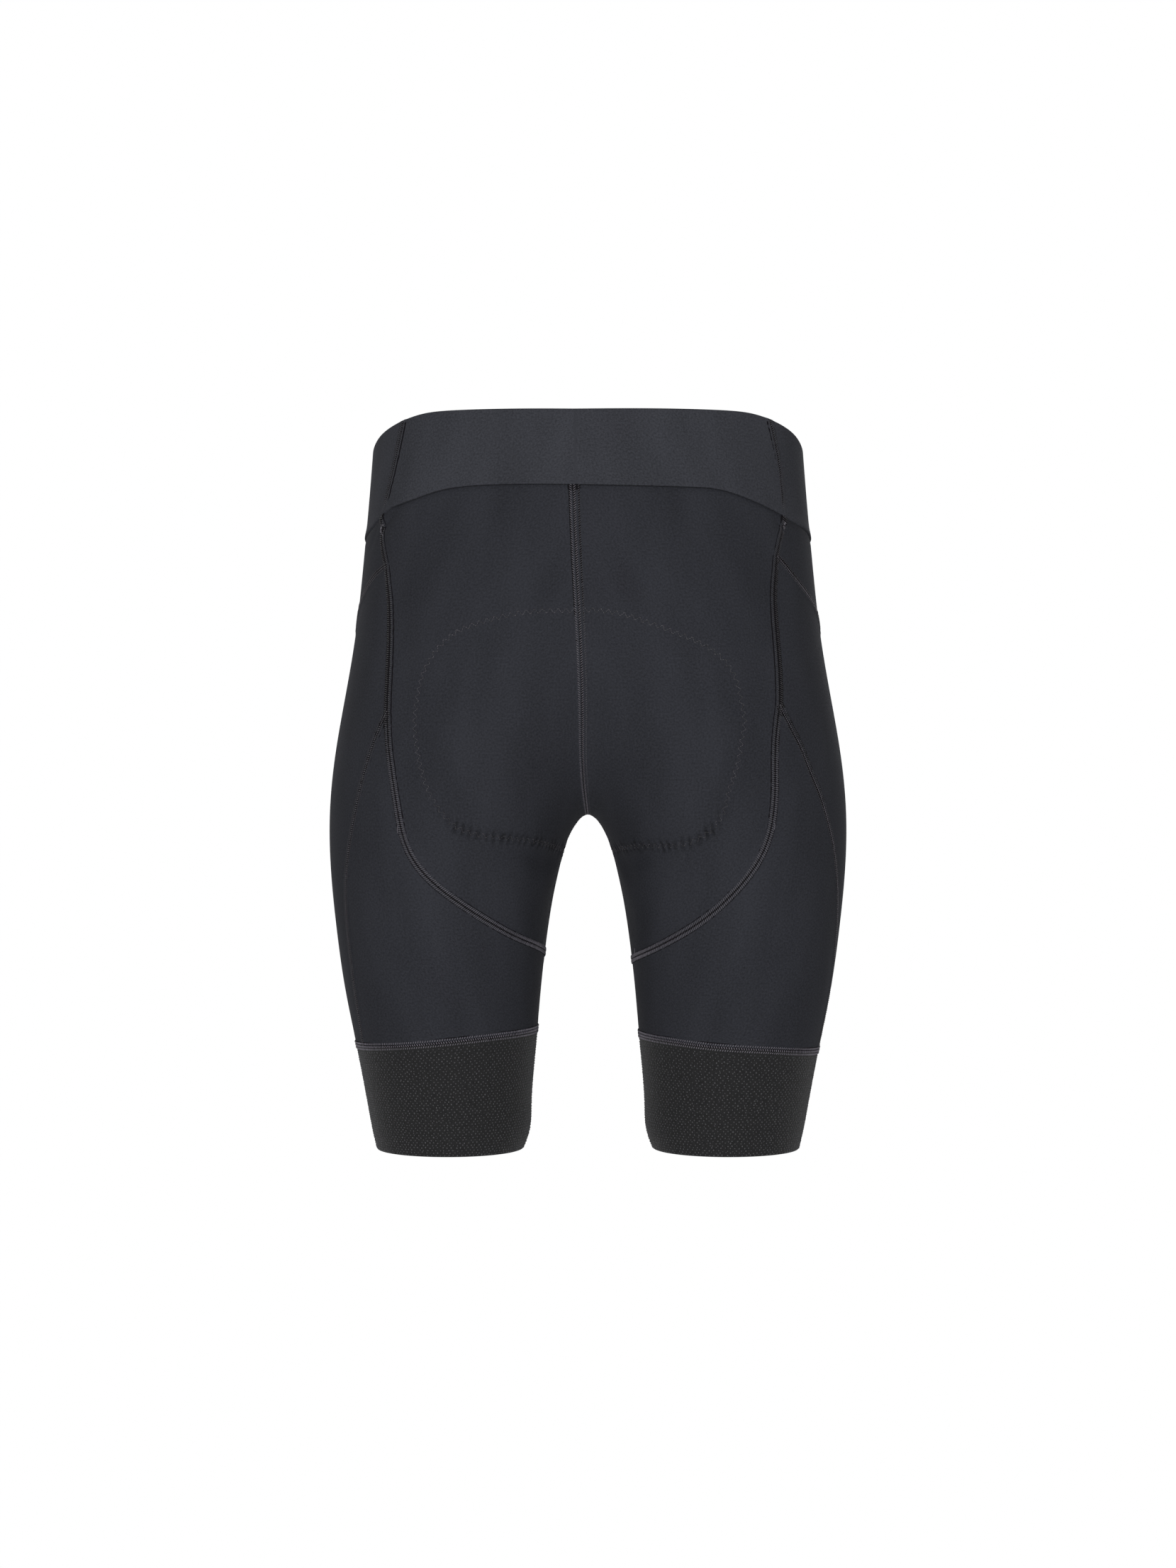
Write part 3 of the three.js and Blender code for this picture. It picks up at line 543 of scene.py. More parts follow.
def evened_out(net):
    """Settles a net whose plain filling folds over itself where its seams turn inwards."""
    net = net.copy()
    for _ in range(EVENING_PASSES):
        across = net[1:-1, 2:] - net[1:-1, :-2]
        down = net[2:, 1:-1] - net[:-2, 1:-1]
        wide = (across**2).sum(-1, keepdims=True)
        tall = (down**2).sum(-1, keepdims=True)
        skew = (across * down).sum(-1, keepdims=True)
        beside = net[1:-1, 2:] + net[1:-1, :-2]
        upright = net[2:, 1:-1] + net[:-2, 1:-1]
        corners = net[2:, 2:] - net[2:, :-2] - net[:-2, 2:] + net[:-2, :-2]
        settled = tall * beside + wide * upright - skew * corners / 2
        net[1:-1, 1:-1] = settled / (2 * (wide + tall))
    return net


# Lines on the cloth, which press it in or raise it and carry the stitches


class Line:
    """A line on the cloth: its points, normals, directions and lengths, spaced evenly."""

    def __init__(self, places, mirror, spacing):
        travelled = lengths_along(cloth_at(places, mirror)[0])
        count = max(int(round(travelled[-1] / spacing)), 1)
        self.travelled = np.linspace(0, travelled[-1], count + 1)
        self.places = np.stack(
            [np.interp(self.travelled, travelled, places[:, k]) for k in (0, 1)], 1
        )
        self.points, self.normals = cloth_at(self.places, mirror)
        self.along = unit(np.gradient(self.points, axis=0))
        self.across = unit(np.cross(self.normals, self.along))


def fine(seam_function):
    return seam_function(np.linspace(0, 1, SEAM_STEPS + 1))


def seam_places(side, *names):
    """The named stretches of seam as one run of places."""
    if names == ("waist_side",):
        return side.seams["waist_side"](np.linspace(RIM_CLEAR, 1, SEAM_STEPS + 1))
    return joined(*(fine(side.seams[name]) for name in names))


def pad_places(side):
    """The pad's line round the seat, and then up the front, as two runs."""
    back = fine(table_seam(PAD_BACK[side.name]))
    start = on_centre_back(np.array([PAD_BACK[side.name][0][0]]), side.mirror)[0, 0]
    back = back[(back[:, 0] <= start) | (back[:, 1] < PAD_MIDDLE)]
    heights, from_centre = np.array(PAD_FRONT, float).T
    travelled = lengths_along(np.stack([heights, from_centre], 1))
    height_at = spline(list(zip(travelled, heights)))
    from_at = spline(list(zip(travelled, from_centre)))
    t = np.linspace(0, travelled[-1], SEAM_STEPS + 1)
    heights = height_at(t)
    front = pairs(-half_lengths(heights)[1] + np.maximum(from_at(t), 0), heights)
    return back, front


FLAT_SEAMS = {
    "seat": ("seat_to_hip", "seat_to_thigh", "seat_to_inseam"),
    "hip": ("hip", "side_front"),
    "outer_thigh": ("outer_thigh",),
    "inseam": ("upper_inseam", "lower_inseam"),
    "waist_side": ("waist_side",),
}

LINE_SHIFT = 700  # added to each next line's lengths, so that its waves fall differently


class Field:
    """Finds the nearest point of several lines, and the signed distance across it."""

    def __init__(self, lines):
        self.points = np.concatenate([line.points for line in lines])
        self.across = np.concatenate([line.across for line in lines])
        self.travelled = np.concatenate(
            [line.travelled + LINE_SHIFT * i for i, line in enumerate(lines)]
        )
        self.tree = KDTree(len(self.points))
        for i, point in enumerate(self.points):
            self.tree.insert(point, i)
        self.tree.balance()

    def near(self, points):
        """Distance, distance across, length along and height of the nearest place on a line."""
        found = [self.tree.find(p) for p in points]
        i = np.array([f[1] for f in found])
        away = np.array([f[2] for f in found])
        offset = ((points - self.points[i]) * self.across[i]).sum(1)
        return away, offset, self.travelled[i], self.points[i, 2]


def band_line_places(side):
    """The seam above a leg band as two runs, round the back and side, and round the front."""
    back = joined(fine(side.seams["band_back"]), fine(side.seams["band_side"]))
    return back, fine(side.seams["band_front"])


def all_flat_lines(spacing):
    lines = []
    for side in SIDES:
        for names in FLAT_SEAMS.values():
            lines.append(Line(seam_places(side, *names), side.mirror, spacing))
        for places in band_line_places(side):
            lines.append(Line(places, side.mirror, spacing))
    lines.append(Line(fine(left.seams["centre_back"]), 1, spacing))
    lines.append(Line(fine(left.seams["centre_front"]), 1, spacing))
    return lines


def waist_lines(spacing):
    names = ("waist_back", "waist_front")
    return [Line(fine(side.seams[n]), side.mirror, spacing) for side in SIDES for n in names]


FIELD_SPACING = 1.0
flat_field = Field(all_flat_lines(FIELD_SPACING))
waist_field = Field(waist_lines(FIELD_SPACING))
pad_field = Field(
    [Line(run, side.mirror, FIELD_SPACING) for side in SIDES for run in pad_places(side)]
)

# Relief of the cloth, in millimetres outwards. A reach is how far from a line its bell falls
# to about a third, and waves are given by the wavelengths that they mix.

SEAM_RAISE = 0.4  # two layers lie flat over each other under the stitches
SEAM_HALF = 3.0
SEAM_SLOPE = 1.2  # width of the raised seam's sloping edge
SEAM_END = 0.6  # how far it reaches past the end of its line
PUCKER = 0.16  # small waves that the stitches draw into the cloth beside a seam
PUCKER_AWAY = 1
PUCKER_REACH = 3.2
PUCKER_WAVES = (6.1, 8.7, 13.3)
WAIST_STEP = 0.8  # the folded edge of the waistband stands over the seat
WAIST_STEP_REACH = 5.0
WAIST_DIP = 0.7  # and presses it in along the seam
WAIST_DIP_REACH = 2.6
PAD_TURN = (215, 268)  # how far below the waist the seat begins and ends its turn under the pad
PAD_PRESS = 0.45
PAD_PRESS_ABOVE = (0.45, 0.55)  # the press at the pad's top, and what its turn adds
PAD_PRESS_REACH = 2.0
PAD_CRUMPLE = 0.55  # waves along the pad's lower edge, where the seat turns under
PAD_CRUMPLE_REACH = 5.0
PAD_CRUMPLE_LEAN = 0.35
PAD_CRUMPLE_WAVES = (5.3, 7.1)
PAD_RIPPLE = 0.12  # fainter ones along the rest of it
PAD_RIPPLE_REACH = 3.5
PAD_RIPPLE_WAVES = (5.9, 4.3)
WAVE_PHASE = 1.7  # between one wavelength and the next
CREASE_REACH = 4  # widths of a crease beyond which it is left out
CREASE_ENDS = 0.02  # share of its length at which it has all but run out
CREASE_FADE = 0.7

# Broad hollows under the seat and beside the crotch, in the same form as the creases below.
HOLLOWS = (
    (((-277, 262), (-280, 248), (-278, 215), (-268, 172)), 8.0, -2.4, "left"),
    (((-277, 262), (-281, 248), (-279, 215), (-271, 175)), 8.0, -2.2, "right"),
    (((-308, 270), (-314, 245), (-324, 220)), 14.0, -0.9, "left"),
    (((-310, 270), (-316, 245), (-326, 220)), 14.0, -0.9, "right"),
    (((-92, 96), (-125, 108), (-160, 114), (-205, 124)), 18.0, -3.4, "left"),
    (((-88, 104), (-120, 116), (-160, 122), (-205, 130)), 18.0, -2.8, "right"),
)

# Soft creases, as ((height, round) rows, how wide, how deep, side). They run where the cloth
# gathers under the seat, at the top of the inner thigh and at the side of the knee.
CREASES = (
    (((-274, 256), (-283, 234), (-292, 205)), 7.5, -0.8, "left"),
    (((-292, 262), (-310, 256), (-330, 250)), 7.0, -0.4, "left"),
    (((-275, 258), (-287, 238), (-297, 214)), 7.5, -0.7, "right"),
    (((-266, 176), (-276, 174), (-284, 175)), 2.2, -0.8, "right"),
    (((-44, 76), (-50, 66), (-57, 58)), 2.8, 1.6, "left"),
    (((-51, 78), (-56, 69), (-63, 62)), 2.4, -1.5, "left"),
    (((-60, 69), (-66, 75), (-75, 82)), 3.0, 0.7, "left"),
    (((-61, 56), (-66, 50), (-72, 43)), 2.4, -0.7, "left"),
    (((-46, 84), (-52, 76), (-59, 69)), 2.4, 0.8, "right"),
    (((-54, 86), (-59, 79), (-66, 73)), 2.2, -1.0, "right"),
    (((-62, 80), (-68, 85), (-78, 93)), 3.0, 0.6, "right"),
    (((-252, -300), (-280, -262), (-296, -230)), 6.0, -0.9, "left"),
    (((-250, -296), (-276, -258), (-300, -238)), 6.0, -0.9, "right"),
    (((-150, -212), (-166, -190), (-176, -160)), 6.0, -0.5, "left"),
    (((-156, -210), (-172, -186), (-180, -150)), 6.0, -0.5, "right"),
)


def crease_lines():
    made = []
    for rows, width, depth, name in (*HOLLOWS, *CREASES):
        side = left if name == "left" else right
        line = Line(fine(table_seam(rows)), side.mirror, FIELD_SPACING)
        made.append((line, width, depth))
    return made


creases = crease_lines()


def smooth_step(x, low, high):
    t = np.clip((x - low) / (high - low), 0, 1)
    return t * t * (3 - 2 * t)


def waves(travelled, *lengths):
    """Uneven waves of about one size, from a few wavelengths that never fall together."""
    total = 0
    for k, length in enumerate(lengths):
        total = total + np.sin(2 * math.pi * travelled / length + WAVE_PHASE * k)
    return total / len(lengths)


def bell(away, reach):
    return np.exp(-((away / reach) ** 2))


def crease_relief(points):
    total = np.zeros(len(points))
    for line, width, depth in creases:
        reach = CREASE_REACH * width
        low, high = line.points.min(0) - reach, line.points.max(0) + reach
        close = np.flatnonzero(((points > low) & (points < high)).all(1))
        if len(close) == 0:
            continue
        gaps = points[close][:, None] - line.points[None]
        away = np.sqrt((gaps**2).sum(2))
        nearest = away.argmin(1)
        share = line.travelled[nearest] / line.travelled[-1]
        fade = np.sin(math.pi * np.clip(share, CREASE_ENDS, 1 - CREASE_ENDS)) ** CREASE_FADE
        total[close] += depth * fade * bell(away.min(1), width)
    return total


def relief(points):
    """How far the cloth stands off its plain form at each point."""
    away, offset, travelled, _ = flat_field.near(points)
    beside = np.maximum(np.abs(offset), away - SEAM_END)
    raised = SEAM_RAISE * (1 - smooth_step(beside, SEAM_HALF - SEAM_SLOPE, SEAM_HALF))
    ripple = bell(away - SEAM_HALF - PUCKER_AWAY, PUCKER_REACH)
    raised += PUCKER * ripple * waves(travelled, *PUCKER_WAVES)

    away, offset, travelled, height = pad_field.near(points)
    low = smooth_step(-height, *PAD_TURN)
    at_top, added = PAD_PRESS_ABOVE
    pressed = -PAD_PRESS * (at_top + added * low) * bell(away, PAD_PRESS_REACH)
    crumple = low * bell(away, PAD_CRUMPLE_REACH)
    leaning = travelled + PAD_CRUMPLE_LEAN * offset
    raised += pressed + PAD_CRUMPLE * crumple * waves(leaning, *PAD_CRUMPLE_WAVES)
    ripple = PAD_RIPPLE * (1 - low) * bell(away, PAD_RIPPLE_REACH)
    raised += ripple * waves(travelled, *PAD_RIPPLE_WAVES)
    return raised + crease_relief(points)


def waist_edge(points, above):
    """The waistband's folded lower edge stands over the cloth below it."""
    away = waist_field.near(points)[0]
    if above:
        return WAIST_STEP * bell(away, WAIST_STEP_REACH)
    return -WAIST_DIP * bell(away, WAIST_DIP_REACH)


# Meshes from grids

CLOTH_MAP = "cloth_mm"
EDGE_GAP = 0.06
BEVEL = 0.35
BEVEL_FROM = math.radians(60)  # only the cloth's cut edges are sharper than this


def draw_back(points, closed):
    """Draws the open edges of a grid of points back a little, within the cloth."""

    def pull(edge, inside):
        step = inside - edge
        return EDGE_GAP * step / np.linalg.norm(step, axis=-1, keepdims=True)

    moved = points.copy()
    moved[0] += pull(points[0], points[1])
    moved[-1] += pull(points[-1], points[-2])
    if not closed:
        moved[:, 0] += pull(points[:, 0], points[:, 1])
        moved[:, -1] += pull(points[:, -1], points[:, -2])
    return moved


def raised_by(high, points, normals, closed=False):
    """A grid of points drawn back from its open edges and raised by its relief."""
    return draw_back(points, closed) + normals * high.reshape(points.shape[:2])[..., None]


# The finest crumples are in the knit's material, which reads how crumpled the cloth is to bump it
# and to paint shade down between its folds.
CRUMPLE = "crumple"
CRUMPLE_TURN = (238, 264)  # below the waist, as PAD_TURN
CRUMPLE_REACH = (4.2, 1.3)  # the usual reach from the pad's line, and how much it changes
CRUMPLE_REACH_WAVES = (13.0, 21.0)
CRUMPLE_SHARE = (0.72, 0.28)  # how crumpled it is there, and how much that changes
CRUMPLE_SHARE_WAVES = (17.0, 29.0)


def crumple_share(points):
    """How crumpled the cloth is: fully along the pad's lower edge, and nothing away from it."""
    away, _, travelled, height = pad_field.near(points)
    low = smooth_step(-height, *CRUMPLE_TURN)
    reach = CRUMPLE_REACH[0] + CRUMPLE_REACH[1] * waves(travelled, *CRUMPLE_REACH_WAVES)
    share = CRUMPLE_SHARE[0] + CRUMPLE_SHARE[1] * waves(travelled, *CRUMPLE_SHARE_WAVES)
    return low * share * np.exp(-((away / reach) ** 4))


def sheet_mesh(name, points, normals, places, closed=False, crumpled=None):
    """A grid of faces through points, facing along normals, with places as its cloth map."""
    rows, columns = points.shape[:2]
    bm = bmesh.new()
    bmesh.ops.create_grid(bm, x_segments=columns - 1, y_segments=rows - 1, size=1)
    bm.verts.ensure_lookup_table()
    flat = np.array([v.co for v in bm.verts])
    i = np.rint((flat[:, 0] + 1) / 2 * (columns - 1)).astype(int)
    j = np.rint((flat[:, 1] + 1) / 2 * (rows - 1)).astype(int)
    for vert, point in zip(bm.verts, points[j, i] * MM):
        vert.co = point
    bm.normal_update()
    bm.faces.ensure_lookup_table()
    middle = bm.faces[len(bm.faces) // 2]
    k = middle.verts[0].index
    if middle.normal.dot(normals[j[k], i[k]].tolist()) < 0:
        bmesh.ops.reverse_faces(bm, faces=bm.faces)
    mesh = bpy.data.meshes.new(name)
    bm.to_mesh(mesh)
    bm.free()
    corners = np.zeros(len(mesh.loops), np.int32)
    mesh.loops.foreach_get("vertex_index", corners)
    layer = mesh.uv_layers.new(name=CLOTH_MAP)
    layer.uv.foreach_set("vector", places[j, i][corners].astype(np.float32).ravel())
    if crumpled is not None:
        share = mesh.attributes.new(CRUMPLE, "FLOAT", "POINT")
        share.data.foreach_set("value", crumpled[j, i].astype(np.float32))
    if closed:
        bm = bmesh.new()
        bm.from_mesh(mesh)
        bmesh.ops.remove_doubles(bm, verts=bm.verts, dist=1e-6)
        bm.to_mesh(mesh)
        bm.free()
    mesh.shade_smooth()
    return mesh


def placed(name, mesh, material):
    """An object of a mesh that rides on the one body and has its finish."""
    piece = bpy.data.objects.new(name, mesh)
    bpy.context.scene.collection.objects.link(piece)
    mesh.materials.append(material)
    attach(piece, "root")
    return piece


def cloth_piece(mesh, thickness, material, node):
    """Gives a mesh of outer faces its thickness and finish, and puts it in its node's place.
    """
    piece = placed(f"{node}_cloth", mesh, material)
    wall = piece.modifiers.new("wall", "SOLIDIFY")
    wall.thickness = thickness * MM
    wall.offset = -1
    edge = piece.modifiers.new("edge", "BEVEL")
    edge.width = BEVEL * MM
    edge.segments = 2
    edge.limit_method = "ANGLE"
    edge.angle_limit = BEVEL_FROM
    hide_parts(node)


# Stitches


def grain(segments, rings):
    """A closed grain of thread, one unit long, wide and high."""
    bm = bmesh.new()
    bmesh.ops.create_uvsphere(bm, u_segments=segments, v_segments=rings, radius=0.5)
    bmesh.ops.triangulate(bm, faces=bm.faces)
    poles_to_ends = np.array([(0, 0, 1), (0, 1, 0), (-1, 0, 0)], float)
    verts = np.array([v.co for v in bm.verts]) @ poles_to_ends.T
    faces = []
    for face in bm.faces:
        corners = [v.index for v in face.verts]
        first = corners.index(min(corners))
        faces.append(corners[first:] + corners[:first])
    bm.free()
    return verts, np.array(sorted(faces))  # the operator's own order changes from run to run


def grains_mesh(name, template, centres, lengthwise, widthwise, upwards, sizes, shades):
    """Joined copies of a grain, each at a centre with its own axes and (long, wide, high) size."""
    verts, faces = template
    axes = np.stack([lengthwise, widthwise, upwards], 1) * sizes[:, :, None]
    points = centres[:, None] + np.einsum("vk,nkc->nvc", verts, axes)
    count = len(centres)
    indices = (faces[None] + (np.arange(count) * len(verts))[:, None, None]).reshape(-1, 3)
    mesh = bpy.data.meshes.new(name)
    mesh.from_pydata((points.reshape(-1, 3) * MM).tolist(), [], indices.tolist())
    shade = mesh.attributes.new("shade", "FLOAT", "POINT")
    shade.data.foreach_set("value", np.repeat(shades, len(verts)).astype(np.float32))
    mesh.shade_smooth()
    return mesh


THREAD_GRAIN = grain(4, 4)
THREAD_LIFT = 0.12
STITCH_JITTER = 0.05
STITCH_FLATNESS = 0.85  # height over thickness
SHADE_CHANGE = 0.12
SHADES = (0.05, 2)  # the least and greatest shade of a grain


def stitches_on(line, rows, generator, scale=None, fade=1.0):
    """Centres, axes, sizes and shades of the stitches that rows place along a line.

    A row is (offset across, length, slant in degrees, thickness, phase of the pitch, shade).
    fade darkens them, as a number or one for each point.
    """
    pitch = line.travelled[1] - line.travelled[0]
    scale = np.ones(len(line.points)) if scale is None else scale
    made = []
    for offset, length, slant, thick, phase, shade in rows:
        jitter = generator.normal(0, STITCH_JITTER, (len(line.points), 3))
        centre = line.points + line.across * (offset * scale)[:, None]
        centre = centre + line.along * (phase * pitch + jitter[:, :1])
        angle = math.radians(slant) + jitter[:, 1:2]
        lengthwise = unit(np.cos(angle) * line.across + np.sin(angle) * line.along)
        widthwise = unit(np.cross(line.normals, lengthwise))
        centre = centre + line.normals * (relief(centre) + THREAD_LIFT)[:, None]
        long = length * scale * (1 + jitter[:, 2])
        wide, high = np.full(len(scale), thick), np.full(len(scale), thick * STITCH_FLATNESS)
        size = np.stack([long, wide, high], 1)
        tone = shade * fade * (1 + generator.normal(0, SHADE_CHANGE, len(scale)))
        made.append((centre, lengthwise, widthwise, line.normals, size, tone))
    return [np.concatenate(part) for part in zip(*made)]


def stitch_piece(name, parts, material, template=THREAD_GRAIN):
    """One piece from the parts that several lines give."""
    mesh = grains_mesh(name, template, *(np.concatenate(column) for column in zip(*parts)))
    placed(name, mesh, material)


BED_SINK = 0.25
BED_ARCH = 0.1
# The ribbon's cross section, as shares of its half width and heights over the cloth.
BED_SHARES = (-1.0, -0.82, 0.0, 0.82, 1.0)
BED_LIFTS = (-BED_SINK, BED_ARCH * 0.7, BED_ARCH, BED_ARCH * 0.7, -BED_SINK)


def bed_piece(name, lines_and_halves, material):
    """Ribbons along lines, a little arched, with their edges sunk in the cloth."""
    bm = bmesh.new()
    for line, half in lines_and_halves:
        halves = half * np.ones(len(line.points))
        rows = []
        for share, lift in zip(BED_SHARES, BED_LIFTS):
            points = line.points + line.across * (share * halves)[:, None]
            points = points + line.normals * (relief(points) + lift)[:, None]
            rows.append([bm.verts.new(point) for point in points * MM])
        for upper, lower in zip(rows, rows[1:]):
            for k in range(len(upper) - 1):
                bm.faces.new((upper[k], upper[k + 1], lower[k + 1], lower[k]))
    bm.normal_update()
    bm.faces.ensure_lookup_table()
    line = lines_and_halves[0][0]
    if bm.faces[0].normal.dot(line.normals[0].tolist()) < 0:
        bmesh.ops.reverse_faces(bm, faces=bm.faces)
    mesh = bpy.data.meshes.new(name)
    bm.to_mesh(mesh)
    bm.free()
    mesh.shade_smooth()
    placed(name, mesh, material)


# Finishes


def linear(code):
    """An sRGB hex value as linear red, green and blue."""
    channels = [int(code[k : k + 2], 16) / 255 for k in (1, 3, 5)]
    return tuple(c / 12.92 if c <= 0.04045 else ((c + 0.055) / 1.055) ** 2.4 for c in channels)


def add_node(tree, kind, settings=None, inputs=None):
    """Adds a node, sets its properties, and sets or links its inputs by name or number."""
    node = tree.nodes.new(kind)
    for key, value in (settings or {}).items():
        setattr(node, key, value)
    for key, value in (inputs or {}).items():
        if isinstance(value, bpy.types.NodeSocket):
            tree.links.new(value, node.inputs[key])
        else:
            node.inputs[key].default_value = value
    return node


def new_material(name):
    material = bpy.data.materials.new(name)
    material.use_nodes = True
    material.node_tree.nodes.clear()
    return material, material.node_tree


def finish_material(tree, inputs):
    """Adds the surface with its inputs, and the output that shows it."""
    shader = add_node(tree, "ShaderNodeBsdfPrincipled", inputs=inputs)
    add_node(tree, "ShaderNodeOutputMaterial", inputs={"Surface": shader.outputs[0]})
    return shader


def maths(tree, operation, *values):
    """The result of one step of arithmetic on sockets or numbers."""
    node = add_node(tree, "ShaderNodeMath", {"operation": operation}, dict(enumerate(values)))
    return node.outputs[0]


def cloth_place(tree):
    """The place on the flat cloth, in millimetres."""
    return add_node(tree, "ShaderNodeUVMap", {"uv_map": CLOTH_MAP}).outputs[0]


def mapped(tree, **inputs):
    """A place turned or stretched."""
    return add_node(tree, "ShaderNodeMapping", inputs=inputs).outputs[0]


def spotted(tree, **inputs):
    """Soft spots from 0 to 1."""
    return add_node(tree, "ShaderNodeTexNoise", inputs=inputs).outputs["Fac"]


def banded(tree, distance, **inputs):
    """Soft parallel bands from 0 to 1, with the scale of their small changes as distance."""
    settings = {"wave_type": "BANDS", "bands_direction": "X"}
    inputs["Detail Scale"] = distance
    return add_node(tree, "ShaderNodeTexWave", settings, inputs).outputs["Fac"]


def bumped(tree, height, strength, distance, invert=False):
    """The normal of a surface with small heights."""
    inputs = {"Height": height, "Strength": strength, "Distance": distance}
    return add_node(tree, "ShaderNodeBump", {"invert": invert}, inputs).outputs[0]


def scaled(colour, factor):
    return tuple(min(c * factor, 1) for c in colour)


def toned(tree, colour, share, low, high):
    """A colour made low times as bright where share is 0, and high times where it is 1."""
    mixed = add_node(tree, "ShaderNodeMix", {"data_type": "RGBA"})
    tree.links.new(share, mixed.inputs["Factor"])
    mixed.inputs["A"].default_value = (*scaled(colour, low), 1)
    mixed.inputs["B"].default_value = (*scaled(colour, high), 1)
    return mixed.outputs["Result"]


GRAIN_TONE = 1.7  # how much the knit's fine grain changes its tone
SHEEN_PATCH_TONE = 0.55  # and how much broad patches of painted sheen do
EVEN_SHARE = 0.73 - (SHEEN_PATCH_TONE + GRAIN_TONE) / 2  # keeps the knit's mean tone, whatever they are
SHEEN_PATCH_STRETCH = (1.0, 0.4, 1.0)  # the patches of painted sheen run down the cloth
RIB_HEIGHT = 0.35  # the knit's ribs in the bump, where its grain is 1
FOLD_HEIGHT = 4.0  # and its small folds
FOLD_PAINTED_SHADE = 0.54  # painted shade: how much darker the base colour is made down between the folds
FOLD_SLANT = math.radians(24)


def warp_knit(name, colour):
    """Matte warp-knitted nylon with elastane: dark, nearly no gloss, a soft bloom of fibres, with
    painted shade between its small folds and broad patches of painted sheen.
    """
    material, tree = new_material(name)
    cloth = cloth_place(tree)
    spots = spotted(tree, Vector=cloth, Scale=0.75, Detail=4.0, Roughness=0.7)
    stretched = mapped(tree, Vector=cloth, Scale=SHEEN_PATCH_STRETCH)
    # broad soft patches, lighter and darker, as painted sheen
    sheen_patches = spotted(tree, Vector=stretched, Scale=0.03, Detail=2.0)
    patch_sheen = maths(tree, "MULTIPLY_ADD", sheen_patches, SHEEN_PATCH_TONE, EVEN_SHARE)
    share = maths(tree, "MULTIPLY_ADD", spots, GRAIN_TONE, patch_sheen)

    ribs = banded(tree, 1.5, Vector=cloth, Scale=0.31, Distortion=1.2, Detail=2.0)
    knitted = maths(tree, "MULTIPLY_ADD", ribs, RIB_HEIGHT, spots)
    slanted = mapped(tree, Vector=cloth, Rotation=(0, 0, FOLD_SLANT))
    folds = banded(tree, 0.9, Vector=slanted, Scale=0.058, Distortion=6.0, Detail=1.0)
    crumpled = add_node(tree, "ShaderNodeAttribute", {"attribute_name": CRUMPLE}).outputs["Fac"]
    folded = maths(tree, "MULTIPLY", folds, crumpled)
    height = maths(tree, "MULTIPLY_ADD", folded, FOLD_HEIGHT, knitted)
    # painted shade: the base colour darkens where the crumpled cloth lies down between its folds
    painted_fold_shade = maths(tree, "SUBTRACT", crumpled, folded)
    tone_and_fold_shade = maths(tree, "MULTIPLY_ADD", painted_fold_shade, -FOLD_PAINTED_SHADE, share)
    shader = finish_material(
        tree,
        {
            "Base Color": toned(tree, colour, tone_and_fold_shade, low=0.2, high=1.3),
            "Roughness": 0.9,
            "Specular IOR Level": 0.12,
            "Sheen Weight": 0.03,
            "Sheen Roughness": 0.3,
            "Normal": bumped(tree, height, strength=0.35, distance=0.0003),
        },
    )
    shader.inputs["Sheen Tint"].default_value = (0.93, 0.93, 1.0, 1)
    return material


def band_knit(name, colour):
    """Coarse elastic knit: a rougher ground between small raised loops, darker down between them as
    painted shade.
    """
    material, tree = new_material(name)
    pits = add_node(
        tree,
        "ShaderNodeTexVoronoi",
        inputs={"Vector": cloth_place(tree), "Scale": 0.75, "Randomness": 0.8},
    ).outputs["Distance"]
    finish_material(
        tree,
        {
            # painted shade: lighter on the raised loops, darker down in the ground between them
            "Base Color": toned(tree, colour, pits, low=1.25, high=0.55),
            "Roughness": 0.88,
            "Specular IOR Level": 0.2,
            "Sheen Weight": 0.06,
            "Sheen Roughness": 0.5,
            "Normal": bumped(tree, pits, strength=0.6, distance=0.0005, invert=True),
        },
    )
    return material


def under_thread_and_shade(name, colour):
    """Dark flat loops of thread under the bright stitches, also painted shade between them and
    along the seams' edges: matte, with almost no gloss.
    """
    material, tree = new_material(name)
    inputs = {"Base Color": (*colour, 1), "Roughness": 0.9, "Specular IOR Level": 0.1}
    finish_material(tree, inputs)
    return material


def yarn(name, colour, roughness):
    """Textured polyester thread: soft, slightly glossy strands whose tone varies by stitch."""
    material, tree = new_material(name)
    shade = add_node(tree, "ShaderNodeAttribute", {"attribute_name": "shade"}).outputs["Fac"]
    share = maths(tree, "MULTIPLY", shade, 0.5)
    finish_material(
        tree,
        {
            "Base Color": toned(tree, colour, share, low=0.1, high=1.9),
            "Roughness": roughness,
            "Specular IOR Level": 0.4,
            "Sheen Weight": 0.1,
        },
    )
    return material


# The pieces


def colours():
    """The settings, with the colours that a user chose."""
    return bpy.context.scene.shorts


